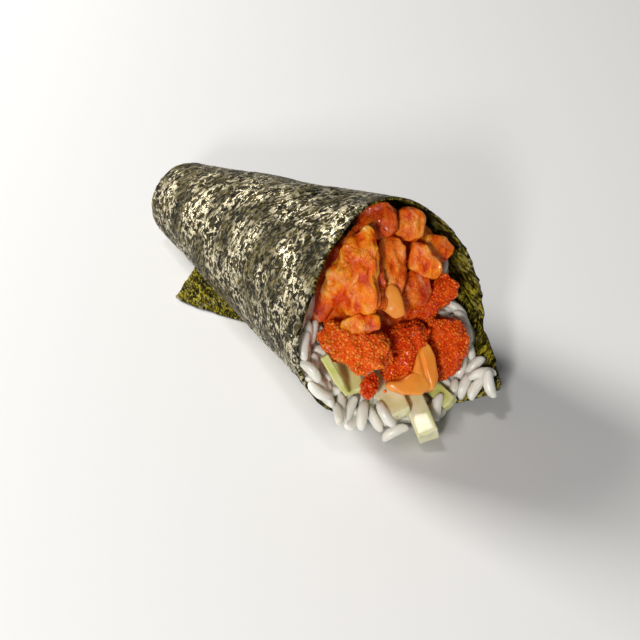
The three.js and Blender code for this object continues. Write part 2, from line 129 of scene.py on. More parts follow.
def on_roll(along, radius, wrap, depth):
    """A point by its distance along the roll's axis, radius and wrap angle, let down onto the surface."""
    across = -radius * np.sin(np.radians(wrap))
    above = -radius * np.cos(np.radians(wrap))
    x = along * COS_A - above * SIN_A
    z = along * SIN_A + above * COS_A - SETTLE
    z = np.maximum(z, floor_under(x, across, wrap) + depth)
    return np.stack((x, across, z), axis=-1)


def sheet_point(slant, wrap, depth):
    """A point of the sheet, some depth below its outer face. Past a full turn the sheet lies flat."""
    slant, wrap, depth = np.broadcast_arrays(slant, wrap, depth)
    inward = depth + layer_depth(wrap) - wave(slant, wrap)
    rolled = on_roll(slant * COS_A + inward * SIN_A, slant * SIN_A - inward * COS_A, wrap, depth)
    turn = np.radians(wrap - 360) * SIN_A
    curl = FLAP_CURL * ((wrap - 360) / (FLAP_CORNER[0] - 360)) ** 2
    flat = np.stack((slant * np.cos(turn), -slant * np.sin(turn), curl + depth), axis=-1)
    return np.where((wrap > 360)[..., None], flat, rolled) + APEX


def tuck_point(reach, wrap, depth):
    """A point of the tucked tip, from its middle, where reach is 0, out to the cone."""
    bulge = TIP_BULGE * np.power(np.clip(1 - reach ** 2, 0, 1), 0.6)
    dimple = TIP_DIMPLE * np.exp(-(reach / 0.28) ** 2)
    lean = reach ** 2
    pleat = PLEAT_DEPTH * np.sin(np.radians(PLEATS * wrap)) * reach * (1 - reach ** 4)
    along = TIP_SLANT * COS_A - bulge + dimple - pleat + depth * (1 - lean)
    radius = reach * (TIP_SLANT * SIN_A - layer_depth(wrap)) - depth * lean
    return on_roll(along, radius, wrap, depth) + APEX


def new_object(name, vertices, faces):
    mesh = bpy.data.meshes.new(name)
    mesh.from_pydata([tuple(v) for v in vertices], [], [tuple(f) for f in faces])
    mesh.update()
    made = bpy.data.objects.new(name, mesh)
    bpy.context.scene.collection.objects.link(made)
    return made


def shade_smooth(piece):
    piece.data.polygons.foreach_set("use_smooth", [True] * len(piece.data.polygons))
    piece.data.update()


def store(piece, name, values, kind="FLOAT"):
    """Values kept at a piece's points, under a name that its material or its tree reads."""
    made = piece.data.attributes.new(name, kind, "POINT")
    field = "vector" if kind == "FLOAT_VECTOR" else "value"
    made.data.foreach_set(field, np.ravel(values).astype(np.float32))


def grid_noise(u, v, size, seed):
    """Smooth noise between -1 and 1 over a plane, with features of a given size."""
    random = np.random.default_rng(seed)
    table = random.uniform(-1, 1, (64, 64))
    x, y = u / size, v / size
    x0, y0 = np.floor(x).astype(int), np.floor(y).astype(int)
    fx, fy = smoothstep(x - x0, 0, 1), smoothstep(y - y0, 0, 1)
    corner = [[table[(x0 + i) % 64, (y0 + j) % 64] for j in (0, 1)] for i in (0, 1)]
    low = corner[0][0] * (1 - fx) + corner[1][0] * fx
    high = corner[0][1] * (1 - fx) + corner[1][1] * fx
    return low * (1 - fy) + high * fy


def warp(u, v, seed):
    return WIDE_WARP * grid_noise(u, v, 9 * MM, seed) + FINE_WARP * grid_noise(u, v, 2.8 * MM, seed + 1)


def seaweed_relief(u, v):
    """The height of the sheet's strings and flat scraps over its unrolled plane."""
    warp_u = u + warp(u, v, 1)
    warp_v = v + warp(u, v, 3)
    strings = 1 - 2 * np.abs(grid_noise(warp_u, warp_v * 0.3, 1.3 * MM, 5))
    cross = 1 - 2 * np.abs(grid_noise(warp_u * 0.45 + warp_v * 0.3, warp_v - warp_u * 0.4, 1.5 * MM, 6))
    scraps = grid_noise(warp_u, warp_v, 2.6 * MM, 7)
    return 0.5 * strings + 0.3 * cross + 0.45 * scraps


def sheet_face(wraps, low, high, tucked, tuck_rows, rows, side):
    """One face of the sheet as a grid of points, with its unrolled plane and its relief."""
    count = rows + tuck_rows
    points = np.zeros((len(wraps), count, 3))
    plane = np.zeros((len(wraps), count, 2))
    height = np.zeros((len(wraps), count))

    def fill(column, slots, flat, place, reach):
        """Part of a column: its plane, its relief, and its points raised by that relief."""
        relief = seaweed_relief(*flat)
        lift = SHEET_RELIEF * relief * (1 - 2 * side)
        points[column, slots] = place(reach, wraps[column], side * SHEET_THICKNESS - lift)
        plane[column, slots] = np.stack(flat, axis=-1)
        height[column, slots] = relief

    for c, wrap in enumerate(wraps):
        used = rows if tucked[c] else count
        slants = np.linspace(low[c], high[c], used)
        fill(c, slice(count - used, count), unrolled(wrap, slants), sheet_point, slants)
        if tucked[c]:
            reach = np.linspace(*TUCK_REACH, tuck_rows)
            flat = unrolled(wrap, TIP_SLANT - (1 - reach) * TIP_SLANT * SIN_A)
            fill(c, slice(tuck_rows), flat, tuck_point, reach)
    points[..., 2] = np.maximum(points[..., 2], side * SHEET_THICKNESS)
    return points, plane, height


def grid_quads(index):
    """The faces between the neighbours of a grid of vertex numbers."""
    return np.stack((index[:-1, :-1], index[:-1, 1:], index[1:, 1:], index[1:, :-1]), axis=-1).reshape(-1, 4)


def grid_border(index):
    return np.concatenate((index[:, 0], index[-1, 1:], index[-2::-1, -1], index[0, -2:0:-1]))


def build_sheet():
    """The sheet's outer face on a fine grid, its inner face on one half as fine, and the edge between."""
    wraps = np.concatenate((np.linspace(WRAP_START, 0, SEAM_COLUMNS, endpoint=False),
                            np.linspace(0, END_CORNER[0], SHEET_COLUMNS, endpoint=False),
                            np.linspace(END_CORNER[0], FLAP_CORNER[0] - 0.4, FLAP_COLUMNS)))
    high = np.where(wraps <= END_CORNER[0], rim_slant(np.minimum(wraps, END_CORNER[0])),
                    edge_slant(END_CORNER, FLAP_CORNER, wraps, END_EDGE_BOW))
    low = np.where(wraps > TIP_EDGE_WRAP,
                   edge_slant((TIP_EDGE_WRAP, TIP_SLANT), FLAP_CORNER, wraps, 0), TIP_SLANT)
    high = high + RAGGED_EDGE * (grid_noise(wraps * MM, 0 * wraps, 2.6 * MM, 11)
                                 + 0.7 * grid_noise(wraps * MM, 0 * wraps, 1.1 * MM, 13))
    low = low + RAGGED_EDGE * grid_noise(wraps * MM, 0 * wraps, 1.6 * MM, 12) * (wraps > TIP_EDGE_WRAP + 3)
    tucked = (wraps > WRAP_START + 5) & (wraps < TIP_EDGE_WRAP - 5)
    outer, outer_plane, outer_height = sheet_face(wraps, low, high, tucked, TUCK_ROWS, SHEET_ROWS, 0)
    inner, inner_plane, inner_height = sheet_face(wraps[::2], low[::2], high[::2], tucked[::2],
                                                  TUCK_ROWS // 2, SHEET_ROWS // 2 + 1, 1)
    outer_index = np.arange(outer[..., 0].size).reshape(outer.shape[:2])
    inner_index = np.arange(inner[..., 0].size).reshape(inner.shape[:2]) + outer_index.size
    faces = [*grid_quads(outer_index), *grid_quads(inner_index)[:, ::-1]]
    fine, coarse = grid_border(outer_index), grid_border(inner_index)
    for k, start in enumerate(coarse):
        end = coarse[(k + 1) % len(coarse)]
        first, middle, last = fine[2 * k], fine[2 * k + 1], fine[(2 * k + 2) % len(fine)]
        faces += [(first, middle, start), (middle, end, start), (middle, last, end)]
    vertices = np.concatenate((outer.reshape(-1, 3), inner.reshape(-1, 3)))
    sheet = new_object("nori_sheet", vertices, faces)
    plane = np.concatenate((outer_plane.reshape(-1, 2), inner_plane.reshape(-1, 2)))
    layer = sheet.data.uv_layers.new(name="unrolled")
    loop_vertex = np.zeros(len(sheet.data.loops), dtype=int)
    sheet.data.loops.foreach_get("vertex_index", loop_vertex)
    layer.data.foreach_set("uv", (plane[loop_vertex] * 10).ravel())
    store(sheet, "inner_face", np.repeat((0.0, 1.0), (outer_index.size, inner_index.size)))
    store(sheet, "relief", np.concatenate((outer_height.ravel(), inner_height.ravel())))
    shade_smooth(sheet)
    return sheet


def set_inputs(tree, made, inputs):
    """Gives each named input of a node a value or a link."""
    for name, value in inputs.items():
        socket = made.inputs[name]
        if isinstance(value, bpy.types.NodeSocket):
            tree.links.new(value, socket)
        else:
            socket.default_value = value


def node(tree, kind, inputs=None, **settings):
    """A new node of a tree, with its settings and inputs."""
    made = tree.nodes.new(kind)
    for name, value in settings.items():
        setattr(made, name, value)
    set_inputs(tree, made, inputs or {})
    return made


def new_material(name):
    """An empty material with its tree and its shader."""
    material = bpy.data.materials.new(name)
    material.use_nodes = True
    tree = material.node_tree
    tree.nodes.clear()
    shader = node(tree, "ShaderNodeBsdfPrincipled")
    node(tree, "ShaderNodeOutputMaterial", {"Surface": shader.outputs["BSDF"]})
    return material, tree, shader


def stored(tree, name, output="Fac"):
    return node(tree, "ShaderNodeAttribute", attribute_name=name).outputs[output]


def ramp(tree, value, stops):
    """A colour ramp: a list of place and colour, or place and grey."""
    made = node(tree, "ShaderNodeValToRGB", {"Fac": value})
    elements = made.color_ramp.elements
    while len(elements) < len(stops):
        elements.new(0.5)
    for element, (place, colour) in zip(elements, stops):
        element.position = place
        grey = isinstance(colour, (int, float))
        element.color = (colour, colour, colour, 1) if grey else (*colour, 1)
    return made.outputs["Color"]


def noise(tree, vector, scale, detail, roughness, distortion=0.0):
    inputs = {"Vector": vector, "Scale": scale, "Detail": detail, "Roughness": roughness,
              "Distortion": distortion}
    return node(tree, "ShaderNodeTexNoise", inputs).outputs[0]


def stretched(tree, vector, scale, turn=0.0):
    """A material's place, squeezed along its axes so that what is drawn on it grows long."""
    inputs = {"Vector": vector, "Scale": scale, "Rotation": (0, 0, turn)}
    return node(tree, "ShaderNodeMapping", inputs).outputs[0]


def bumped(tree, height, strength, distance):
    inputs = {"Height": height, "Strength": strength, "Distance": distance}
    return node(tree, "ShaderNodeBump", inputs).outputs[0]


def mix_colour(tree, factor, first, second):
    return node(tree, "ShaderNodeMix", {0: factor, 6: first, 7: second}, data_type="RGBA").outputs[2]


def maths(tree, operation, *values):
    return node(tree, "ShaderNodeMath", dict(enumerate(values)), operation=operation).outputs[0]


def seaweed_material():
    material, tree, shader = new_material("roasted_seaweed")
    flat = node(tree, "ShaderNodeUVMap", uv_map="unrolled").outputs[0]
    inner = stored(tree, "inner_face")
    strings = noise(tree, stretched(tree, flat, (1.0, 0.27, 1.0)), 112, 4, 0.6, 1.6)
    cross = noise(tree, stretched(tree, flat, (1.0, 0.3, 1.0), turn=0.9), 126, 4, 0.6, 1.5)
    where = ramp(tree, noise(tree, flat, 22, 2, 0.5), [(0.42, 0.0), (0.58, 1.0)])
    fibre = mix_colour(tree, where, strings, cross)
    # The relief's height lightens the raised strings and darkens the grooves between them: painted shade laid
    # over the fibre pattern.
    fibres_and_groove_shade = maths(tree, "MULTIPLY_ADD", stored(tree, "relief"), 0.07, fibre)
    outside = ramp(tree, fibres_and_groove_shade, [(0.43, (0.002, 0.002, 0.001)), (0.52, (0.020, 0.016, 0.003)),
                               (0.58, (0.070, 0.052, 0.009)), (0.70, (0.24, 0.185, 0.05))])
    # The inner face is the sheet's own greener, yellower side, made brighter as painted light shining through
    # the sheet.
    inside = ramp(tree, fibres_and_groove_shade, [(0.43, (0.006, 0.005, 0.001)), (0.52, (0.070, 0.055, 0.003)),
                              (0.62, (0.46, 0.39, 0.02))])
    scraps = noise(tree, flat, 56, 3, 0.55, 1.0)
    worn = ramp(tree, noise(tree, flat, 9, 2, 0.5), [(0.40, 0.12), (0.58, 1.0)])
    shiny = ramp(tree, maths(tree, "MULTIPLY_ADD", scraps, 0.6, maths(tree, "MULTIPLY", fibres_and_groove_shade, 0.4)),
                 [(0.515, 0.0), (0.545, 1.0)])
    sheen = maths(tree, "MULTIPLY", maths(tree, "MULTIPLY", shiny, worn),
                  maths(tree, "SUBTRACT", 0.9, maths(tree, "MULTIPLY", inner, 0.75)))
    bare = mix_colour(tree, inner, outside, inside)
    colour = mix_colour(tree, sheen, bare, (0.74, 0.66, 0.45, 1))
    gloss = ramp(tree, fibre, [(0.40, 0.5), (0.56, 0.22)])
    set_inputs(tree, shader, {"Base Color": colour, "Metallic": sheen, "Roughness": gloss,
                              "Specular IOR Level": 0.04, "Normal": bumped(tree, fibre, 1.0, 0.8 * MM)})
    return material


nori = build_sheet()
nori.data.materials.append(seaweed_material())
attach(nori, "root")
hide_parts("nori")

# The rice lining: vinegared short-grain rice pressed against the inside of the cone from tip to mouth.
# This is its packed mass. The loose grains that show are laid on its face once the filling is in.
AXIS = np.array((COS_A, 0, SIN_A))
RISE = np.array((-SIN_A, 0, COS_A))
RICE_FACE_DEPTH = 158 * MM
RICE_INSET = 5 * MM
RICE_INSET_SWING = 6.8 * MM
RICE_INSET_WRAP = 18
# How far it stands back further on the tongue and along the top, and over which wrap angles.
TONGUE_BARE, TONGUE_WRAPS = 7 * MM, (298, 314, 326, 344)
TOP_SET_BACK, TOP_WRAPS = 6 * MM, (165, 195, 240, 265)
# The rim steps in where the sheet starts, so the rice draws back to it from here.
SEAM_STEP, SEAM_FROM = 5.4 * MM, 255
TIP_GAP = 2.5 * MM
LINING_GAP = 0.45 * MM
LINING_COLUMNS = 240
LINING_ROWS = 40
FACE_ROWS = 56
FACE_SHARES = (0.97, 0.04)
FACE_HOLLOW = 5 * MM
PACKED_SIZE = 3.4 * MM
PACKED_LONG = np.array((1, 1, 0.5))
PACKED_RELIEF = 1.5 * MM


def between(value, rises_from, rises_to, falls_from, falls_to):
    """1 over a stretch and 0 outside it, with soft ends."""
    return smoothstep(value, rises_from, rises_to) * (1 - smoothstep(value, falls_from, falls_to))


def lining_end(wrap):
    """Where the rice ends short of the rim. It leaves the tongue of seaweed bare."""
    inset = RICE_INSET - RICE_INSET_SWING * np.cos(np.radians(wrap - RICE_INSET_WRAP))
    turned = np.where(wrap < 0, wrap + 360, wrap)
    back = TONGUE_BARE * between(turned, *TONGUE_WRAPS) + TOP_SET_BACK * between(turned, *TOP_WRAPS)
    before_seam = turned <= TIP_EDGE_WRAP
    step = SEAM_STEP * smoothstep(turned, SEAM_FROM, TIP_EDGE_WRAP) * before_seam
    return rim_slant(np.where(before_seam, turned, turned - 360)) - inset - back - step


def rice_face_point(wrap, share):
    """A point of the rice's face, from its middle, where share is 0, out to the sheet."""
    wrap, share = np.broadcast_arrays(wrap, share)
    edge = sheet_point(lining_end(wrap), wrap, SHEET_THICKNESS + LINING_GAP)
    middle = AXIS * RICE_FACE_DEPTH + CONE_BASE
    hollow = FACE_HOLLOW * (share - share ** 1.6)
    return middle + (edge - middle) * share[..., None] + AXIS * hollow[..., None]


def space_noise(points, size, seed):
    """Smooth noise between -1 and 1 in space, with features of a given size."""
    table = np.random.default_rng(seed).uniform(-1, 1, (24, 24, 24))
    place = points / size
    cell = np.floor(place).astype(int)
    part = smoothstep(place - cell, 0, 1)
    total = np.zeros(len(points))
    for corner in np.ndindex(2, 2, 2):
        weight = np.prod(np.where(corner, part, 1 - part), axis=1)
        x, y, z = ((cell + corner) % 24).T
        total += weight * table[x, y, z]
    return total


def packed_grains(points):
    """How deep a face of packed grains lies at each point: domes of a grain's size, meeting in valleys."""
    random = np.random.default_rng(21)
    points = points * PACKED_LONG
    spans = zip(points.min(axis=0) - PACKED_SIZE, points.max(axis=0) + PACKED_SIZE)
    grid = np.meshgrid(*[np.arange(low, high, PACKED_SIZE) for low, high in spans])
    sites = np.stack(grid, axis=-1).reshape(-1, 3)
    sites = sites + random.uniform(-0.42, 0.42, sites.shape) * PACKED_SIZE
    nearest = KDTree(len(sites))
    for number, site in enumerate(sites):
        nearest.insert(Vector(site), number)
    nearest.balance()
    away = np.array([nearest.find(Vector(point))[2] for point in points]) / PACKED_SIZE
    return 1 - np.sqrt(np.maximum(0, 1 - (away / 0.8) ** 2))


def build_rice_mass():
    wraps = WRAP_START + np.arange(LINING_COLUMNS) * 360 / LINING_COLUMNS
    start = TIP_SLANT + TIP_GAP
    lining = [sheet_point(start + (lining_end(wraps) - start) * share, wraps, SHEET_THICKNESS + LINING_GAP)
              for share in np.linspace(0, 1, LINING_ROWS)]
    shares = np.repeat(np.linspace(*FACE_SHARES, FACE_ROWS), LINING_COLUMNS)
    face = rice_face_point(np.tile(wraps, FACE_ROWS), shares)
    depth = PACKED_RELIEF * packed_grains(face) * np.minimum(1, 8 - 8 * shares)
    points = np.concatenate((*lining, face - AXIS * depth[:, None]))
    index = np.arange(len(points)).reshape(-1, LINING_COLUMNS)
    around = np.roll(index, -1, axis=1)
    quads = np.stack((index[:-1], index[1:], around[1:], around[:-1]), axis=-1).reshape(-1, 4)
    tip, middle = len(points), len(points) + 1
    fans = [(tip, a, b) for a, b in zip(index[0], around[0])]
    fans += [(middle, b, a) for a, b in zip(index[-1], around[-1])]
    ends = (points[index[0]].mean(axis=0), points[index[-1]].mean(axis=0))
    mass = new_object("rice_mass", np.concatenate((points, ends)), [*quads, *fans])
    shade_smooth(mass)
    return mass


def rice_material():
    material, tree, shader = new_material("cooked_rice")
    cloud = noise(tree, node(tree, "ShaderNodeTexCoord").outputs["Object"], 260, 3, 0.5)
    mottled = maths(tree, "MULTIPLY_ADD", cloud, 0.6, maths(tree, "MULTIPLY", stored(tree, "tone"), 0.4))
    colour = ramp(tree, mottled, [(0.25, (0.70, 0.68, 0.58)), (0.6, (0.90, 0.88, 0.80))])
    set_inputs(tree, shader, {"Base Color": colour, "Subsurface Weight": 0.5,
                              "Subsurface Radius": (1.0, 0.9, 0.8), "Subsurface Scale": 1.8 * MM,
                              "Roughness": 0.32, "Coat Weight": 0.25, "Coat Roughness": 0.15,
                              "Normal": bumped(tree, cloud, 0.25, 0.2 * MM)})
    return material


cooked_rice = rice_material()
rice_mass = build_rice_mass()
rice_mass.data.materials.append(cooked_rice)
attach(rice_mass, "root")
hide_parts("rice")

# The cucumber: sticks cut lengthwise from peeled cucumber, wet and translucent, with pale fibres along
# them. They stand in the rice at the front of the mouth, and one still has a trace of green skin.
MOUTH_ALONG = 178 * MM
MOUTH_SLOPE = 0.3
# The eye's direction, round the roll and above the surface, for placing what shows in the mouth.
VIEW_TURN = math.radians(52.8)
VIEW_HEIGHT = math.radians(37)
VIEW_RIGHT = np.array((math.cos(VIEW_TURN), math.sin(VIEW_TURN), 0))
VIEW_BACK = np.array((math.sin(VIEW_TURN) * math.cos(VIEW_HEIGHT),
                      -math.cos(VIEW_TURN) * math.cos(VIEW_HEIGHT), math.sin(VIEW_HEIGHT)))
VIEW_UP = np.cross(VIEW_BACK, VIEW_RIGHT)
MOUTH_CENTRE = AXIS * MOUTH_ALONG + CONE_BASE
MOUTH_NORMAL = AXIS + RISE * MOUTH_SLOPE


def in_mouth(right, up, lift):
    """Points of the mouth's face, in millimetres right and up as seen from the eye, lifted towards it."""
    flat = (np.multiply.outer(right, VIEW_RIGHT) + np.multiply.outer(up, VIEW_UP)) * MM
    towards = np.asarray(lift) * MM - flat @ MOUTH_NORMAL / (VIEW_BACK @ MOUTH_NORMAL)
    return MOUTH_CENTRE + flat + np.multiply.outer(towards, VIEW_BACK)


def block_surface(steps):
    """The surface of a block from -1 to 1, as a closed grid with a number of steps along each axis."""
    steps = np.array(steps)
    cells, quads = [], []
    for axis in range(3):
        u, v = (axis + 1) % 3, (axis + 2) % 3
        for end in (0, steps[axis]):
            i, j = np.meshgrid(np.arange(steps[u]), np.arange(steps[v]), indexing="ij")
            order = ((0, 0), (1, 0), (1, 1), (0, 1)) if end else ((0, 0), (0, 1), (1, 1), (1, 0))
            for di, dj in order:
                corner = np.zeros((i.size, 3), dtype=int)
                corner[:, axis] = end
                corner[:, u] = (i + di).ravel()
                corner[:, v] = (j + dj).ravel()
                cells.append(corner)
    lattice = np.concatenate(cells)
    unique, inverse = np.unique(lattice, axis=0, return_inverse=True)
    inverse = inverse.ravel()
    at = 0
    for axis in range(3):
        u, v = (axis + 1) % 3, (axis + 2) % 3
        count = steps[u] * steps[v]
        for _ in range(2):
            quads.append(inverse[at:at + 4 * count].reshape(4, count).T)
            at += 4 * count
    return unique * 2 / steps - 1, np.concatenate(quads)


STICKS = (
    dict(end=(-12.4, -22.6, 2.5), back=(-18.2, -12.8, 1.5), size=(13.5, 2.4, 1.8), point=0.3),
    dict(end=(-9.8, -21.6, -0.5), back=(-13, -14, -7), size=(20, 6, 2.6), point=0.9),
    dict(end=(2.4, -28.4, 3.4), back=(-3.4, -16.4, -9), size=(38, 7.6, 4.8), point=0.95),
    dict(end=(10.5, -33.8, 10), back=(5, -20.5, -3.6), size=(44, 6, 5), point=1),
    dict(end=(17.2, -25, 4.5), back=(10.4, -19.2, -5), size=(30, 5, 3.8), point=0.9),
)
STICK_EDGE = 0.45 * MM
STICK_END_RELIEF = 0.3 * MM


def build_stick(name, spec, seed):
    """A block with rounded edges and fibres along it, narrowed and cut unevenly at its outer end."""
    forward = in_mouth(*spec["end"]) - in_mouth(*spec["back"])
    forward = forward / np.linalg.norm(forward)
    across = np.cross(VIEW_BACK, forward)
    across = across / np.linalg.norm(across)
    normal = np.cross(forward, across)
    block, quads = block_surface((int(spec["size"][0] * 2), 14, 12))
    half = np.array(spec["size"]) * MM / 2
    core = np.clip(block * half, -(half - STICK_EDGE), half - STICK_EDGE)
    rest = block * half - core
    local = core + STICK_EDGE * rest / np.maximum(np.linalg.norm(rest, axis=1, keepdims=True), 1e-9)
    narrow = 1 + (spec["point"] - 1) * smoothstep(block[:, 0], 0.1, 1)
    fibres = space_noise(local * (0.15, 1, 1), 0.9 * MM, seed)
    uneven = space_noise(local * (0.5, 1, 1), 4 * MM, seed + 1)
    local[:, 1:] *= (narrow * (1 + 0.012 * fibres + 0.05 * uneven))[:, None]
    at_end = np.abs(block[:, 0]) > 0.97
    local[:, 0] += STICK_END_RELIEF * space_noise(local, 1.7 * MM, seed + 2) * at_end
    placed = in_mouth(*spec["end"]) + (local - (half[0], 0, 0)) @ (forward, across, normal)
    piece = new_object(name, placed, quads)
    store(piece, "along_stick", local + (seed * 0.01, 0, 0), "FLOAT_VECTOR")
    store(piece, "from_end", (half[0] - local[:, 0]) / MM)
    shade_smooth(piece)
    return piece


def cucumber_material(name, green, skin=False):
    material, tree, shader = new_material(name)
    place = stored(tree, "along_stick", "Vector")
    fibres = noise(tree, stretched(tree, place, (0.12, 1, 1)), 420, 3, 0.55)
    pale = ramp(tree, fibres, [(0.3, (0.86, 0.81, 0.50)), (0.5, (0.91, 0.87, 0.62)),
                               (0.72, (0.93, 0.91, 0.74))])
    tinged = ramp(tree, noise(tree, place, 160, 3, 0.5), [(0.45, green), (0.7, green + 0.5)])
    colour = mix_colour(tree, tinged, pale, (0.60, 0.62, 0.17, 1))
    if skin:
        flecks = maths(tree, "GREATER_THAN", noise(tree, place, 900, 2, 0.5), 0.64)
        near_end = maths(tree, "LESS_THAN", stored(tree, "from_end"), 1.5)
        colour = mix_colour(tree, maths(tree, "MULTIPLY", flecks, near_end), colour, (0.12, 0.16, 0.01, 1))
    set_inputs(tree, shader, {"Base Color": colour, "Subsurface Weight": 0.45,
                              "Subsurface Radius": (1.0, 0.95, 0.45), "Subsurface Scale": 2 * MM,
                              "Roughness": 0.28, "Coat Weight": 0.4, "Coat Roughness": 0.12,
                              "Normal": bumped(tree, fibres, 0.25, 0.2 * MM)})
    return material


cucumber_flesh = cucumber_material("cucumber_flesh", 0.05)
cucumber_near_skin = cucumber_material("cucumber_near_skin", 0.7)
cucumber_with_skin = cucumber_material("cucumber_with_skin", 0.0, skin=True)
stick_materials = (cucumber_near_skin, cucumber_near_skin, cucumber_with_skin, cucumber_flesh,
                   cucumber_near_skin)
filling = []
for number, spec in enumerate(STICKS, 1):
    piece = build_stick(f"cucumber_stick_{number}", spec, 30 + number)
    piece.data.materials.append(stick_materials[number - 1])
    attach(piece, "root")
    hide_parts(f"cucumber_{number}")
    filling.append(piece)

# The salmon: raw salmon cut into chunks by hand and tossed in a thin spicy glaze, so it is wet all over.
# The chunks that show are bright. Those deeper in the roll, and the mass behind them, are dark red, partly
# their own colour and partly painted shade.
# What a chunk is where nothing else is said: its grid, how boxy it is, its flat cuts, the height in
# millimetres and the size of its bumps and ridges, its lean and turn in degrees, the length and taper of
# its far side, how dark red it is (on the salmon partly painted shade), and whether it follows the mouth's
# slope or is kept off the sheet.
CHUNK = dict(steps=34, power=3.2, cuts=4, rough=0.45, bumps=2.6, ridges=0.25, lean=0, turn=0, tail=0,
             taper=0.2, red=0.3, sloped=False, kept_in=False)
SQUARENESS = 2.7
CUT_SOFTNESS = 0.5
CREASE_DEPTH, CREASE_WIDTH = 0.8, 0.5
SHEET_CLEARANCE = 2.2 * MM


def outline_reach(corners, angles, centre):
    """How far a rounded outline, given by its corners, reaches from its centre at each angle."""
    corners = np.array(corners) - centre
    start, end = corners, np.roll(corners, -1, axis=0)
    fine = np.concatenate([a + (b - a) * np.linspace(0, 1, 40)[:, None] for a, b in zip(start, end)])
    turn = np.arctan2(fine[:, 1], fine[:, 0])
    order = np.argsort(turn)
    turn, reach = turn[order], np.linalg.norm(fine, axis=1)[order]
    turn = np.concatenate((turn - 2 * math.pi, turn, turn + 2 * math.pi))
    reach = np.tile(reach, 3)
    spread = np.radians(np.linspace(-9, 9, 7))
    return np.mean([np.interp(angles + d, turn, reach) for d in spread], axis=0)


def from_axis(points):
    """How far along the roll's axis points lie, and the way to each from the axis."""
    along = (points - CONE_BASE) @ AXIS
    return along, points - CONE_BASE - AXIS * along[:, None]


def kept_in_roll(points):
    """Points drawn in towards the roll's axis where they would reach the sheet."""
    along, away = from_axis(points)
    reach = np.linalg.norm(away, axis=1)
    limit = along * SIN_A / COS_A - SHEET_THICKNESS - SHEET_CLEARANCE
    return points + away * (np.minimum(1, limit / np.maximum(reach, 1e-6)) - 1)[:, None]


def chunk_body(spec, unit):
    """A chunk's smooth body in millimetres: its outline, or a squarish one, domed to the front and back."""
    half = np.array(spec["half"])
    flat = np.linalg.norm(unit[:, :2], axis=1)
    norm = (flat ** spec["power"] + np.abs(unit[:, 2]) ** spec["power"]) ** (1 / spec["power"])
    angle = np.arctan2(unit[:, 1], unit[:, 0])
    if "outline" in spec:
        reach = outline_reach(spec["outline"], angle, np.array(spec["at"][:2]))
    else:
        sides = np.abs((np.cos(angle) / half[0], np.sin(angle) / half[1])) ** SQUARENESS
        reach = sides.sum(axis=0) ** (-1 / SQUARENESS)
    width = reach * flat / norm
    return np.stack((np.cos(angle) * width, np.sin(angle) * width, half[2] * unit[:, 2] / norm), axis=1)


def cut_flat(local, cuts, height, random):
    """A body with slanting cuts taken off its front."""
    for cut in range(cuts):
        aim = 2 * math.pi * (cut / cuts + random.uniform(0, 0.2))
        slope = random.uniform(0.25, 0.6)
        outward = local[:, 0] * math.cos(aim) + local[:, 1] * math.sin(aim)
        over = local[:, 2] - height * random.uniform(0.75, 0.95) + slope * outward * 0.6
        cut_off = CUT_SOFTNESS * np.log1p(np.exp(over / CUT_SOFTNESS))
        local[:, 2] -= np.where(local[:, 2] > 0, cut_off, 0)


def crease_depth(spec, local):
    start, end = np.array(spec["crease"]) - spec["at"][:2]
    along = (end - start) / np.linalg.norm(end - start)
    beside = (local[:, :2] - start) @ (-along[1], along[0])
    return CREASE_DEPTH * np.exp(-(beside / CREASE_WIDTH) ** 2)


def place_chunk(spec, local, unit):
    """A chunk's points set in the mouth, with its far side drawn out down the roll."""
    turn = 0 if "outline" in spec else spec["turn"]
    spin = (Matrix.Rotation(math.radians(spec["lean"]), 3, Vector(VIEW_UP))
            @ Matrix.Rotation(math.radians(turn), 3, Vector(VIEW_BACK)))
    basis = np.array([spin @ Vector(v) for v in (VIEW_RIGHT, VIEW_UP, VIEW_BACK)])
    placed = in_mouth(*spec["at"]) + local @ basis * MM
    if spec["sloped"]:
        placed = in_mouth(*(local + np.array(spec["at"])).T)
    inside = np.maximum(0, -unit[:, 2:]) ** 1.5
    _, away = from_axis(placed)
    placed = placed - AXIS * inside * spec["tail"] * MM - away * inside * spec["taper"]
    return kept_in_roll(placed) if spec["kept_in"] else placed


def build_chunk(name, own, seed):
    """A rounded piece with an uneven skin and flat cuts on its face, whose far side runs into the roll."""
    spec = {**CHUNK, **own}
    block, quads = block_surface((spec["steps"],) * 3)
    unit = np.tan(block * 0.78)
    unit = unit / np.linalg.norm(unit, axis=1, keepdims=True)
    local = chunk_body(spec, unit)
    cut_flat(local, spec["cuts"], spec["half"][2], np.random.default_rng(seed))
    skin = local * MM
    if "crease" in spec:
        local[:, 2] -= np.where(unit[:, 2] > 0, crease_depth(spec, local), 0)
    relief = (spec["rough"] * space_noise(skin, spec["bumps"] * MM, seed + 1)
              + 0.4 * spec["rough"] * space_noise(skin, spec["bumps"] * 0.42 * MM, seed + 2)
              + spec["ridges"] * space_noise(skin * (1, 0.35, 1), 1.6 * MM, seed + 3))
    piece = new_object(name, place_chunk(spec, local + unit * relief[:, None], unit), quads)
    store(piece, "flesh", skin + (seed * 0.013, seed * 0.007, 0), "FLOAT_VECTOR")
    store(piece, "height", relief / spec["rough"])
    # How dark red the piece is: on the salmon partly its own colour and partly painted shade deep in the
    # roll.
    store(piece, "shade_and_redness", np.full(len(skin), spec["red"]))
    hidden = -0.6 if spec["tail"] else -1.2
    store(piece, "front", smoothstep(unit[:, 2], hidden, hidden + 0.4))
    shade_smooth(piece)
    return piece


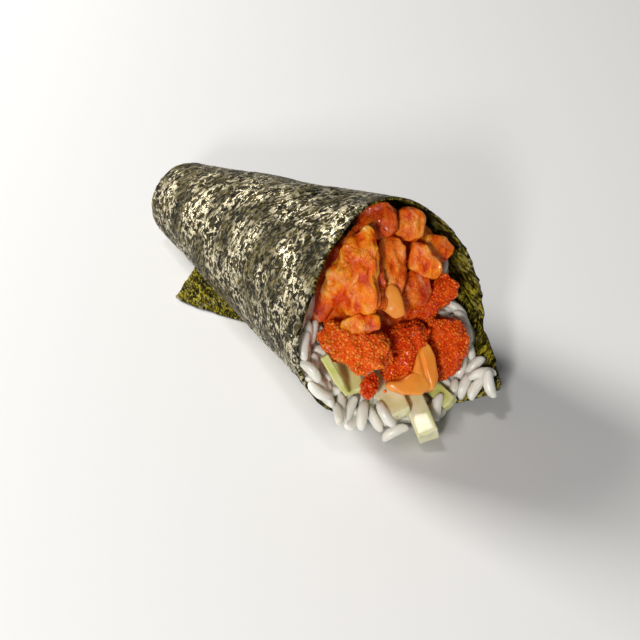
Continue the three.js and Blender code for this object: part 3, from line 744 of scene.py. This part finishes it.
SALMON = (
    dict(at=(-11.2, 11, 1.5), half=(7.6, 11.6, 4.5), lean=-8, tail=7, red=0.05, cuts=3, steps=48,
         power=4.5, ridges=0.9, rough=0.8,
         outline=((-12.4, 20), (-9.6, 23), (-6.4, 23.4), (-4.4, 20.6), (-5.2, 15.5), (-5.4, 9.2), (-4, 3),
                  (-6.9, -0.6), (-12.7, 0), (-18.4, 1.8), (-20, 5.7), (-19.4, 9), (-16.4, 13))),
    dict(at=(-0.6, 13.4, -0.5), half=(4, 8, 4), turn=4, tail=6, red=0.5, ridges=1.0, cuts=2),
    dict(at=(8.9, 15.6, 1), half=(5.6, 6.4, 4.6), tail=6, red=0.12, cuts=3,
         outline=((5.6, 20.4), (9.6, 19), (13.9, 13.2), (12.2, 9.9), (7.6, 10.6), (3.2, 13.6))),
    dict(at=(6, 7.2, -0.5), half=(4.3, 5.2, 4), turn=-10, tail=5, red=0.6, cuts=3),
    dict(at=(13.8, 19.4, -1), half=(6.2, 3.9, 2.4), lean=18, tail=4, red=0.25, cuts=2,
         outline=((8.2, 22.8), (14.9, 21.8), (18, 18.8), (14.4, 14.6), (11.8, 15.6), (8.4, 18))),
    dict(at=(4.4, 25, -3), half=(4.2, 4.8, 4), turn=-8, tail=5, red=0.3, cuts=3),
    dict(at=(-4.8, 25.6, -4.5), half=(5.2, 5.2, 4.2), turn=8, tail=6, red=0.8, cuts=3),
    dict(at=(-18.8, 8.5, -8), half=(4, 11, 4.5), turn=-12, tail=6, red=1.0, cuts=2),
    dict(at=(-9.2, -3, 4.5), half=(5.4, 2.7, 3), turn=10, tail=3, red=0.0, cuts=2, ridges=0.5),
)
# The glaze: pooled behind the chunks, and thick in the groove between the two largest.
GLAZE = (
    dict(at=(-3.4, 11, -9), half=(17, 16, 4), tail=6, red=0.8, rough=1.3, bumps=3, cuts=0, kept_in=True,
         sloped=True, steps=60,
         outline=((-17, -5), (-21, 1), (-21, 8), (-16, 17), (-9, 27), (-2, 30), (6, 29), (13, 22), (15, 14),
                  (14, 2), (9, -8), (-8, -9))),
    dict(at=(-4.9, 7, 1.2), half=(2, 7, 3.8), tail=2, red=0.6, rough=0.9, bumps=1.3, cuts=0,
         outline=((-7, 14), (-3.6, 14.5), (-2.6, 8), (-2.2, 2), (-4.4, 0), (-6.4, 4), (-6.8, 9))),
)
# The rest of the salmon, packed behind the chunks down the roll.
SALMON_HEART = dict(at=(-8.5, 8, -16), half=(15, 15, 6), tail=52, taper=0.5, red=1.0, rough=0.8)


def salmon_material():
    material, tree, shader = new_material("glazed_salmon")
    flesh = stored(tree, "flesh", "Vector")
    bend = maths(tree, "MULTIPLY", noise(tree, flesh, 90, 3, 0.5), 3.5 * MM)
    bent = node(tree, "ShaderNodeVectorMath", {0: flesh, 1: bend}, operation="ADD").outputs[0]
    layers = node(tree, "ShaderNodeTexWave", {"Vector": bent, "Scale": 85, "Distortion": 1.5,
                                              "Detail": 2, "Detail Scale": 1.5}, bands_direction="DIAGONAL")
    fat = ramp(tree, layers.outputs["Fac"], [(0.80, 0.0), (0.98, 0.30)])
    some = ramp(tree, noise(tree, flesh, 150, 3, 0.5), [(0.45, 0.1), (0.62, 1.0)])
    patches = noise(tree, stretched(tree, bent, (1, 0.4, 1)), 330, 4, 0.6)
    # Raised parts of each chunk are lighter and its hollows darker red: painted shade over patches of the
    # flesh's own colour.
    ridge_shade_and_patches = maths(tree, "MULTIPLY_ADD", stored(tree, "height"), 0.09, patches)
    bright = ramp(tree, ridge_shade_and_patches, [(0.34, (0.72, 0.06, 0.001)), (0.45, (0.95, 0.17, 0.002)),
                                (0.57, (1.0, 0.29, 0.006)), (0.70, (1.0, 0.48, 0.06))])
    deep = ramp(tree, ridge_shade_and_patches, [(0.30, (0.38, 0.014, 0.001)), (0.50, (0.60, 0.048, 0.001)),
                              (0.70, (0.84, 0.13, 0.006))])
    # The deep red mixed in here is partly the flesh's own colour and partly painted shade on the chunks deep
    # in the roll and the mass behind them.
    body = mix_colour(tree, stored(tree, "shade_and_redness"), bright, deep)
    colour = mix_colour(tree, maths(tree, "MULTIPLY", fat, some), body, (0.97, 0.55, 0.22, 1))
    film = noise(tree, flesh, 560, 2, 0.6, 0.8)
    wet = maths(tree, "MULTIPLY_ADD", film, 0.7, maths(tree, "MULTIPLY", patches, 1.2))
    skin = bumped(tree, wet, 1.0, 1.0 * MM)
    set_inputs(tree, shader, {"Base Color": colour, "Subsurface Weight": 0.4,
                              "Subsurface Radius": (1.0, 0.3, 0.12), "Subsurface Scale": 1.6 * MM,
                              "Specular IOR Level": 0.1, "Roughness": 0.35, "Coat Weight": 0.25,
                              "Coat IOR": 1.9, "Coat Roughness": 0.06, "Normal": skin, "Coat Normal": skin})
    return material


glazed_salmon = salmon_material()
for number, spec in enumerate(GLAZE, 1):
    piece = build_chunk(f"salmon_glaze_{number}", spec, 40 + 5 * number)
    piece.data.materials.append(glazed_salmon)
    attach(piece, "root")
    filling.append(piece)
salmon_names = [f"salmon_{k}" for k in range(1, len(SALMON) + 1)] + ["salmon_heart"]
for number, (cad_name, spec) in enumerate(zip(salmon_names, SALMON + (SALMON_HEART,))):
    piece = build_chunk(f"{cad_name}_flesh", spec, 50 + 5 * number)
    piece.data.materials.append(glazed_salmon)
    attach(piece, "root")
    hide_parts(cad_name)
    filling.append(piece)

# The roe: clumps of tiny salted fish eggs, each a clear shell round an orange drop. The eggs stick to a
# moist mass of their own kind, and some have rolled off onto the rice and the cucumber.
ROE = (
    dict(at=(-11, -9.2, 0), half=(9.8, 7.6, 6.4), tail=3, rough=1.5, bumps=2.4, red=0.1,
         outline=((-18.3, -2.4), (-13.2, -3.8), (-7.8, -5.5), (-3, -5.8), (-1, -8.5), (-1.7, -13.9),
                  (-6.4, -15.3), (-9.8, -16.3), (-13.2, -13.2), (-18.6, -10.5), (-20.6, -7.1))),
    dict(at=(4.3, -10.2, -0.5), half=(7, 8.4, 6), tail=3, rough=1.5, bumps=2.4, red=0.7,
         outline=((-0.4, -4.8), (5.7, -2.4), (9.8, -3.8), (9.1, -9.2), (6.4, -13.9), (3.7, -18),
                  (-0.4, -19), (-3, -17.3), (-1.7, -13.2), (-1, -8.5))),
    dict(at=(14.3, -7.6, -1), half=(7.6, 10.4, 5.4), tail=3, rough=1.3, bumps=2.5, red=0.5,
         outline=((10.5, -1.7), (14.5, -0.6), (19.3, -1.7), (21.6, -7.8), (19.9, -14.6), (14.5, -18),
                  (12, -16), (9, -9.2))),
    dict(at=(12.6, 6, -3), half=(7.6, 6.8, 4.6), tail=3, rough=1.2, bumps=2.4, red=0.6,
         outline=((13.8, 11.8), (18.2, 8.1), (17.2, 4.7), (13.2, 2.6), (10.1, -2.4), (5.7, -2.4), (5.7, 1.6),
                  (9.1, 5.7), (12.5, 9.8))),
    dict(at=(-6.8, -20.6, 1.5), half=(2, 2.5, 1.8), rough=0.4, bumps=1.6, steps=14, red=0.9),
)
EGG_RADIUS = 0.45 * MM
EGG_SPACING = 0.6 * MM
EGG_SEED = 3
LOOSE_EGGS = ((18, 0), (18.9, -1.7), (21.1, -7.5), (25.3, -13.9), (11.6, -21.2), (17.5, -22.3),
              (-1.8, -21.5), (4.7, -29))
EYE_DISTANCE = 60


def roe_material():
    material, tree, shader = new_material("fish_eggs")
    colour = ramp(tree, stored(tree, "tone"), [(0.0, (0.54, 0.020, 0.001)), (0.35, (0.80, 0.075, 0.002)),
                                               (0.8, (0.95, 0.19, 0.010)), (1.0, (1.0, 0.33, 0.045))])
    set_inputs(tree, shader, {"Base Color": colour, "Subsurface Weight": 0.5,
                              "Subsurface Radius": (1.0, 0.25, 0.08), "Subsurface Scale": 0.8 * MM,
                              "Specular IOR Level": 0.2, "Roughness": 0.25, "Coat Weight": 0.2,
                              "Coat Roughness": 0.08})
    return material


def new_tree(name, sockets):
    """A geometry tree with its inputs, each given as name, type and default value."""
    tree = bpy.data.node_groups.new(name, "GeometryNodeTree")
    tree.interface.new_socket("Geometry", in_out="INPUT", socket_type="NodeSocketGeometry")
    for label, kind, value in sockets:
        socket = tree.interface.new_socket(label, in_out="INPUT", socket_type=kind)
        socket.default_value = value
    tree.interface.new_socket("Geometry", in_out="OUTPUT", socket_type="NodeSocketGeometry")
    return tree, node(tree, "NodeGroupInput").outputs


def run_tree(tree, source, values, name):
    """The plain mesh that a tree makes from an object's mesh, which is then removed."""
    modifier = source.modifiers.new("tree", "NODES")
    modifier.node_group = tree
    by_name = {item.name: item.identifier for item in tree.interface.items_tree if item.in_out == "INPUT"}
    for label, value in values.items():
        modifier[by_name[label]] = value
    graph = bpy.context.evaluated_depsgraph_get()
    mesh = bpy.data.meshes.new_from_object(source.evaluated_get(graph), depsgraph=graph)
    made = bpy.data.objects.new(name, mesh)
    bpy.context.scene.collection.objects.link(made)
    source.modifiers.clear()
    bpy.data.objects.remove(source)
    return made


def named(tree, name, kind="FLOAT"):
    """What a geometry tree reads under a name from the points it is given."""
    return node(tree, "GeometryNodeInputNamedAttribute", {"Name": name}, data_type=kind).outputs["Attribute"]


def random_value(tree, low, high, seed):
    inputs = {2: low, 3: high, "Seed": seed}
    return node(tree, "FunctionNodeRandomValue", inputs, data_type="FLOAT").outputs[1]


def finish_tree(tree, placed, tone, material):
    """The last steps of a tree: each placed thing gets its tone, then all become one smooth mesh."""
    toned = node(tree, "GeometryNodeStoreNamedAttribute", {"Geometry": placed, "Name": "tone", "Value": tone},
                 data_type="FLOAT", domain="INSTANCE")
    real = node(tree, "GeometryNodeRealizeInstances", {"Geometry": toned.outputs[0]})
    smooth = node(tree, "GeometryNodeSetShadeSmooth", {"Geometry": real.outputs[0]})
    dressed = node(tree, "GeometryNodeSetMaterial", {"Geometry": smooth.outputs[0], "Material": material})
    node(tree, "NodeGroupOutput", {"Geometry": dressed.outputs[0]})
    return tree


def egg_tree(material):
    """Eggs strewn over the faces of a clump, and one on each loose point, in uneven sizes and tones."""
    tree, given = new_tree("strewn_eggs", (("Egg radius", "NodeSocketFloat", EGG_RADIUS),
                                           ("Spacing", "NodeSocketFloat", EGG_SPACING),
                                           ("Seed", "NodeSocketInt", EGG_SEED)))
    strewn = node(tree, "GeometryNodeDistributePointsOnFaces",
                  {"Mesh": given["Geometry"], "Distance Min": given["Spacing"], "Density Max": 3e6,
                   "Density Factor": named(tree, "front"), "Seed": given["Seed"]},
                  distribute_method="POISSON")
    single = node(tree, "GeometryNodeMeshToPoints",
                  {"Mesh": given["Geometry"], "Selection": named(tree, "loose")})
    every = node(tree, "GeometryNodeJoinGeometry")
    tree.links.new(strewn.outputs["Points"], every.inputs[0])
    tree.links.new(single.outputs[0], every.inputs[0])
    egg = node(tree, "GeometryNodeMeshUVSphere", {"Segments": 7, "Rings": 4, "Radius": given["Egg radius"]})
    spin = node(tree, "FunctionNodeRandomValue", {0: (0, 0, 0), 1: (6.3, 6.3, 6.3), "Seed": given["Seed"]},
                data_type="FLOAT_VECTOR")
    placed = node(tree, "GeometryNodeInstanceOnPoints",
                  {"Points": every.outputs[0], "Instance": egg.outputs["Mesh"], "Rotation": spin.outputs[0],
                   "Scale": random_value(tree, 0.8, 1.15, given["Seed"])})
    tone = maths(tree, "MULTIPLY_ADD", named(tree, "shade_and_redness"), -0.4,
                 random_value(tree, 0.35, 1.0, given["Seed"]))
    return finish_tree(tree, placed.outputs[0], tone, material)


def surface_tree(pieces):
    """A tree for finding the nearest surface among finished pieces."""
    vertices, faces, start = [], [], 0
    for piece in pieces:
        vertices += [v.co[:] for v in piece.data.vertices]
        faces += [[start + k for k in f.vertices] for f in piece.data.polygons]
        start += len(piece.data.vertices)
    return BVHTree.FromPolygons(vertices, faces)


def dropped(surface, right, up, radius):
    """The place of a small thing that lies on the roll, or beside it, where the eye sees it."""
    start = in_mouth(right, up, EYE_DISTANCE)
    hit = surface.ray_cast(Vector(start), Vector(-VIEW_BACK))[0]
    if hit is None:
        return start - VIEW_BACK * (start[2] - radius) / VIEW_BACK[2]
    return np.array(hit) + VIEW_BACK * radius * 0.8


fish_eggs = roe_material()
clumps = []
for number, spec in enumerate(ROE, 1):
    piece = build_chunk(f"roe_clump_{number}", {**spec, "cuts": 0, "ridges": 0}, 110 + 5 * number)
    piece.data.materials.append(fish_eggs)
    store(piece, "tone", np.full(len(piece.data.vertices), 0.5 - 0.4 * spec["red"]))
    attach(piece, "root")
    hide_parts(f"roe_{number}")
    clumps.append(piece)
    filling.append(piece)

# The sauce: two squeezes of thick chilli mayonnaise, pale orange and glossy. Each keeps the flat sides
# and the folds that it was squeezed with.
SAUCE = (
    dict(at=(-0.5, 3.4, 4.2), half=(4.1, 5, 2.6), rough=0.1, cuts=3, power=2.6,
         outline=((-1.2, 8.6), (1, 7.2), (2.2, 4.4), (3.3, -0.2), (0.2, -1.4), (-3.8, 1.6), (-3.2, 5.4))),
    dict(at=(9, -14.4, 6.2), half=(4.1, 7.6, 3.2), rough=0.12, cuts=1, power=3.6,
         crease=((7.6, -11), (10.4, -20.6)),
         outline=((8.4, -7.2), (9.8, -7.6), (11.8, -11.4), (12.9, -17), (12, -20.4), (9.4, -21.8),
                  (5.6, -20.6), (5.3, -15.6), (6.6, -11.4))),
    dict(at=(4, -19.6, 4.8), half=(7.4, 3, 3.2), rough=0.12, cuts=1, power=3.2,
         outline=((-2.6, -18.8), (2.4, -18), (5.6, -15.8), (9, -16.6), (11, -19.6), (8.4, -22.2),
                  (3.2, -22.3), (-1, -21))),
)
SAUCE_NODES = ("sauce_1", "sauce_2", "sauce_2")


def sauce_material():
    material, tree, shader = new_material("chilli_mayonnaise")
    patches = noise(tree, node(tree, "ShaderNodeTexCoord").outputs["Object"], 180, 3, 0.5)
    colour = ramp(tree, patches, [(0.35, (0.93, 0.29, 0.028)), (0.65, (0.97, 0.38, 0.055))])
    set_inputs(tree, shader, {"Base Color": colour, "Subsurface Weight": 0.35,
                              "Subsurface Radius": (1.0, 0.5, 0.25), "Subsurface Scale": 1.2 * MM,
                              "Roughness": 0.25, "Coat Weight": 0.5, "Coat Roughness": 0.08})
    return material


chilli_mayonnaise = sauce_material()
for number, (cad_name, spec) in enumerate(zip(SAUCE_NODES, SAUCE), 1):
    piece = build_chunk(f"sauce_fold_{number}", {**spec, "tail": 3, "ridges": 0}, 150 + 5 * number)
    piece.data.materials.append(chilli_mayonnaise)
    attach(piece, "root")
    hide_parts(cad_name)
    filling.append(piece)

# The eggs are strewn once the filling is whole, so that the loose ones lie on what is really there.
resting_surface = surface_tree(filling + [nori, rice_mass])
egg_source = new_object("egg_source", [dropped(resting_surface, *at, EGG_RADIUS) for at in LOOSE_EGGS], [])
store(egg_source, "loose", np.ones(len(LOOSE_EGGS)))
for clump in clumps:
    copy = bpy.data.objects.new("clump_copy", clump.data.copy())
    bpy.context.scene.collection.objects.link(copy)
    both = [egg_source, copy]
    with bpy.context.temp_override(active_object=egg_source, object=egg_source, selected_objects=both,
                                   selected_editable_objects=both):
        bpy.ops.object.join()
eggs = run_tree(egg_tree(fish_eggs), egg_source,
                {"Egg radius": EGG_RADIUS, "Spacing": EGG_SPACING, "Seed": EGG_SEED}, "roe_eggs")
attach(eggs, "root")

# The grains that show: rice pushed out at the mouth as the roll was closed. They lie against each other,
# the filling and the sheet, a few hanging over its edge and a few fallen on the tongue of seaweed.
GRAIN_LENGTH = 8.3 * MM
GRAIN_WIDTH = 3.4 * MM
GRAIN_OVERHANG = 0.6 * MM
GRAIN_SEED = 5
GRAIN_LIFTS = np.arange(-1.2, 3.1, 0.5) * MM
LOW_LIFTS = GRAIN_LIFTS[:5]
# How near the middle lines of two grains may come, in widths, and how deep a grain may sink into the
# filling, in half widths: first for the grains placed one by one, then for the others.
PLACED_PACKING, OTHER_PACKING = (0.45, 0.95), (0.58, 0.5)
SINK_MARGIN = 0.1
LAID_IN_SHEET, MOST_IN_SHEET = 0.1, 0.3
PLACED_TILT = 0.25
# The others are tried over these wrap angles, most of them near the rim, and lie along the rice's face.
# Where they may hang over the rim, they are lifted further.
GRAIN_TRIES = 4000
FIRST_GRAIN_WRAP, GRAIN_WRAPS = -118, 210
GOLDEN_SHARE = 0.618034
FACE_PART, RIM_CROWDING = 0.55, 1.3
FLATTENING = 0.6
HANGING_WRAP, HANGING_REACH = 5, 38
# The nearest grains, each right and up in the mouth, and the angle at which it lies.
NEAR_GRAINS = (
    (23.6, -9.8, -72), (20.3, -14.2, 80), (16.6, -18.7, 5), (22, -21, 65), (25, -21, 55), (28.6, -20.1, 103),
    (26.7, -16.7, 10), (15.3, 1.4, 10), (17.8, 2.6, -30), (19.6, 1.4, -45), (20.9, -1.5, -60),
    (22.2, -5.6, 100), (-24.5, -17, -80), (-24.3, -20.5, -75), (-22.5, -24, -60), (-19.5, -28, -50),
    (-24.6, -12.5, 88),
    (-23.4, -5.4, 85), (-22, -9.5, -50), (-24.6, -9, 85), (-23.6, -12, -60), (-21.6, -14.8, 85),
    (-24, -15.6, -45), (-19, -15.6, -50), (-21.6, -19.5, -12), (-18.5, -22.6, -40), (-16.8, -19.3, -35),
    (-15.4, -24.6, 80), (-18.3, -26.4, -15), (-15.4, -28.2, 35), (-11, -23.7, -20), (-7.9, -25.1, -70),
    (-5.1, -27.3, -60), (-2.6, -31.4, 45), (1, -32.6, 30), (-10.5, -27.2, -15), (-1.6, -27.7, -55),
    (14.4, 13.7, 80),
)


def grain_samples(centre, direction):
    """Points along a grain's middle line, by which it is kept off other things."""
    return centre + np.linspace(-0.36, 0.36, 5)[:, None] * GRAIN_LENGTH * direction


def pushed_off(centre, direction, surface, share):
    """A grain's middle, moved along a surface's normal until the grain keeps off that surface."""
    for _ in range(2):
        deepest, away = 0, None
        for point in grain_samples(centre, direction):
            near, normal, _, _ = surface.find_nearest(Vector(point))
            short = GRAIN_WIDTH / 2 * (1 - share) - (Vector(point) - near).dot(normal)
            if short > deepest:
                deepest, away = short, normal
        if away is None:
            return centre
        centre = centre + np.array(away) * (deepest + 0.02 * MM)
    return centre


def is_clear(samples, surface, share):
    """Whether a grain keeps off a surface, sinking in by no more than a share of its half width."""
    for point in samples:
        near, normal, _, _ = surface.find_nearest(Vector(point))
        if (Vector(point) - near).dot(normal) < GRAIN_WIDTH / 2 * (1 - share):
            return False
    return True


def is_within_cone(points):
    """Whether points lie no further from the roll's axis than its sheet does, or would if it went on."""
    along, away = from_axis(points)
    return np.all(np.linalg.norm(away, axis=1) < along * SIN_A / COS_A + GRAIN_OVERHANG)


def lay_grains(resting_surface, sheet_surface, filling_surface):
    """The middles and directions of the grains: the near ones first, then others wherever there is room."""
    random = np.random.default_rng(17)
    centres, directions = [], []
    taken = np.zeros((0, 3))

    def try_grain(start, outward, direction, lifts, crowding, sinking):
        nonlocal taken
        for lift in lifts:
            centre = pushed_off(start + outward * lift, direction, sheet_surface, LAID_IN_SHEET)
            centre = pushed_off(centre, direction, filling_surface, sinking - SINK_MARGIN)
            samples = grain_samples(centre, direction)
            if samples[:, 2].min() < GRAIN_WIDTH / 2 or not is_within_cone(samples):
                continue
            if len(taken):
                gaps = np.linalg.norm(taken[None] - samples[:, None], axis=2)
                if gaps.min() < crowding * GRAIN_WIDTH:
                    continue
            if (is_clear(samples, sheet_surface, MOST_IN_SHEET)
                    and is_clear(samples, filling_surface, sinking)):
                centres.append(centre)
                directions.append(direction)
                taken = np.concatenate((taken, samples))
                return True
        return False

    for right_at, up_at, angle in NEAR_GRAINS:
        lying = VIEW_RIGHT * math.cos(math.radians(angle)) + VIEW_UP * math.sin(math.radians(angle))
        start = dropped(resting_surface, right_at, up_at, GRAIN_WIDTH / 2)
        normal = np.array(resting_surface.find_nearest(Vector(start))[1])
        tilted = lying + VIEW_BACK * random.uniform(-PLACED_TILT, PLACED_TILT)
        flat = lying - normal * (lying @ normal)
        for direction in (tilted, flat / np.linalg.norm(flat)):
            if try_grain(start, VIEW_BACK, direction, GRAIN_LIFTS, *PLACED_PACKING):
                break
    for k in range(GRAIN_TRIES):
        wrap = FIRST_GRAIN_WRAP + GRAIN_WRAPS * ((k * GOLDEN_SHARE) % 1)
        share = 1.0 - FACE_PART * random.random() ** RIM_CROWDING
        direction = random.normal(size=3)
        direction = direction - MOUTH_NORMAL * (direction @ MOUTH_NORMAL) * FLATTENING
        direction = direction / np.linalg.norm(direction)
        hanging = abs(wrap - HANGING_WRAP) < HANGING_REACH
        lifts = GRAIN_LIFTS if hanging else LOW_LIFTS
        try_grain(rice_face_point(wrap, share), AXIS, direction, lifts, *OTHER_PACKING)
    return np.array(centres), np.array(directions)


def grain_tree(material):
    """A bent blunt grain on each point, turned along the way it lies."""
    tree, given = new_tree("laid_grains", (("Length", "NodeSocketFloat", GRAIN_LENGTH),
                                           ("Width", "NodeSocketFloat", GRAIN_WIDTH),
                                           ("Seed", "NodeSocketInt", GRAIN_SEED)))
    ball = node(tree, "GeometryNodeMeshUVSphere", {"Segments": 9, "Rings": 8, "Radius": 1.0})
    place = node(tree, "GeometryNodeInputPosition").outputs[0]
    x, y, z = node(tree, "ShaderNodeSeparateXYZ", {0: place}).outputs
    bend = maths(tree, "MULTIPLY", maths(tree, "MULTIPLY", z, z), 0.5)
    drawn = maths(tree, "POWER", maths(tree, "ABSOLUTE", z), 0.84)
    blunt = maths(tree, "MULTIPLY", maths(tree, "SIGN", z), drawn)
    full = maths(tree, "POWER", maths(tree, "SUBTRACT", 1.001, maths(tree, "MULTIPLY", z, z)), -0.12)
    wide = maths(tree, "MULTIPLY", maths(tree, "SUBTRACT", maths(tree, "MULTIPLY", x, full), bend),
                 maths(tree, "MULTIPLY", given["Width"], 0.5))
    deep = maths(tree, "MULTIPLY", maths(tree, "MULTIPLY", y, full),
                 maths(tree, "MULTIPLY", given["Width"], 0.45))
    long = maths(tree, "MULTIPLY", blunt, maths(tree, "MULTIPLY", given["Length"], 0.5))
    shaped = node(tree, "ShaderNodeCombineXYZ", {0: wide, 1: deep, 2: long}).outputs[0]
    grain = node(tree, "GeometryNodeSetPosition", {"Geometry": ball.outputs["Mesh"], "Position": shaped})
    lying = named(tree, "lying", "FLOAT_VECTOR")
    turned = node(tree, "FunctionNodeAlignRotationToVector", {"Vector": lying}, axis="Z")
    spin = random_value(tree, 0.0, 6.28, given["Seed"])
    about = node(tree, "FunctionNodeAxisAngleToRotation", {"Axis": (0, 0, 1), "Angle": spin})
    rotation = node(tree, "FunctionNodeRotateRotation",
                    {"Rotation": turned.outputs[0], "Rotate By": about.outputs[0]}, rotation_space="LOCAL")
    placed = node(tree, "GeometryNodeInstanceOnPoints",
                  {"Points": given["Geometry"], "Instance": grain.outputs[0], "Rotation": rotation.outputs[0],
                   "Scale": random_value(tree, 0.82, 1.1, given["Seed"])})
    return finish_tree(tree, placed.outputs[0], random_value(tree, 0.0, 1.0, given["Seed"]), material)


grain_centres, grain_directions = lay_grains(resting_surface, surface_tree([nori]), surface_tree(filling))
grain_source = new_object("grain_source", grain_centres, [])
store(grain_source, "lying", grain_directions, "FLOAT_VECTOR")
grains = run_tree(grain_tree(cooked_rice), grain_source,
                  {"Length": GRAIN_LENGTH, "Width": GRAIN_WIDTH, "Seed": GRAIN_SEED}, "rice_grains")
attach(grains, "root")

# The surface it lies on, plain and pale, then the camera and the light. The camera stands where the
# photograph was taken.
FLOOR_HALF = 0.9
corners = [(x * FLOOR_HALF, y * FLOOR_HALF, 0) for x, y in ((-1, -1), (1, -1), (1, 1), (-1, 1))]
floor = new_object("floor", corners, [(0, 1, 2, 3)])
floor_material, floor_nodes, floor_shader = new_material("pale_floor")
set_inputs(floor_nodes, floor_shader, {"Base Color": (0.77, 0.77, 0.765, 1), "Roughness": 0.5})
floor.data.materials.append(floor_material)

VIEW_AZIMUTH = math.radians(52.81)
VIEW_ELEVATION = math.radians(36.98)
VIEW_ROLL = math.radians(1.056)
VIEW_FROM = Vector((450.6, -234.3, 300)) * MM + Vector(APEX)
FOCAL_PIXELS = 1628.75
FRAME_PIXELS = 640
SENSOR = 36.0

right = Vector((math.cos(VIEW_AZIMUTH), math.sin(VIEW_AZIMUTH), 0))
back = Vector((math.sin(VIEW_AZIMUTH) * math.cos(VIEW_ELEVATION),
               -math.cos(VIEW_AZIMUTH) * math.cos(VIEW_ELEVATION), math.sin(VIEW_ELEVATION)))
up = back.cross(right)
rolled_right = right * math.cos(VIEW_ROLL) + up * math.sin(VIEW_ROLL)
rolled_up = up * math.cos(VIEW_ROLL) - right * math.sin(VIEW_ROLL)
camera_data = bpy.data.cameras.new("camera")
camera_data.lens = SENSOR * FOCAL_PIXELS / FRAME_PIXELS
camera_data.sensor_width = SENSOR
camera_data.clip_start = 0.01
camera = bpy.data.objects.new("camera", camera_data)
bpy.context.scene.collection.objects.link(camera)
turn = Matrix((rolled_right, rolled_up, back)).transposed()
camera.matrix_world = Matrix.Translation(VIEW_FROM) @ turn.to_4x4()
bpy.context.scene.camera = camera

# A large soft window behind the roll to the left, a weak lamp above and a small one on the eye's side.
ROLL_MIDDLE = Vector((0, 0, 0.03))
DAYLIGHT = (1.0, 0.98, 0.95)
ROOM_LIGHT = (1.0, 0.99, 0.97)


def area_light(name, place, size, power, colour, gloss):
    """A lamp that faces the roll. Its place is rightwards, away from the eye and up, as the photo has it."""
    data = bpy.data.lights.new(name, "AREA")
    data.shape = "RECTANGLE"
    data.size, data.size_y = size
    data.energy = power
    data.color = colour
    data.specular_factor = gloss
    light = bpy.data.objects.new(name, data)
    bpy.context.scene.collection.objects.link(light)
    rightwards, away, height = place
    ahead = Vector((-math.sin(VIEW_AZIMUTH), math.cos(VIEW_AZIMUTH), 0))
    light.location = right * rightwards + ahead * away + Vector((0, 0, height))
    light.rotation_euler = (ROLL_MIDDLE - light.location).to_track_quat("-Z", "Y").to_euler()


area_light("window", (-0.8, 0.45, 0.5), (0.4, 0.45), 15.6, DAYLIGHT, 1.0)
area_light("ceiling", (-0.3, 0.05, 0.9), (0.16, 0.16), 1.6, ROOM_LIGHT, 0.4)
area_light("front", (-0.2, -0.8, 0.38), (0.12, 0.12), 4.5, DAYLIGHT, 1.0)

world = bpy.data.worlds.new("studio")
world.use_nodes = True
world.node_tree.nodes["Background"].inputs["Color"].default_value = (0.97, 0.98, 1.0, 1)
world.node_tree.nodes["Background"].inputs["Strength"].default_value = 0.09
bpy.context.scene.world = world
bpy.context.scene.view_settings.view_transform = "Standard"
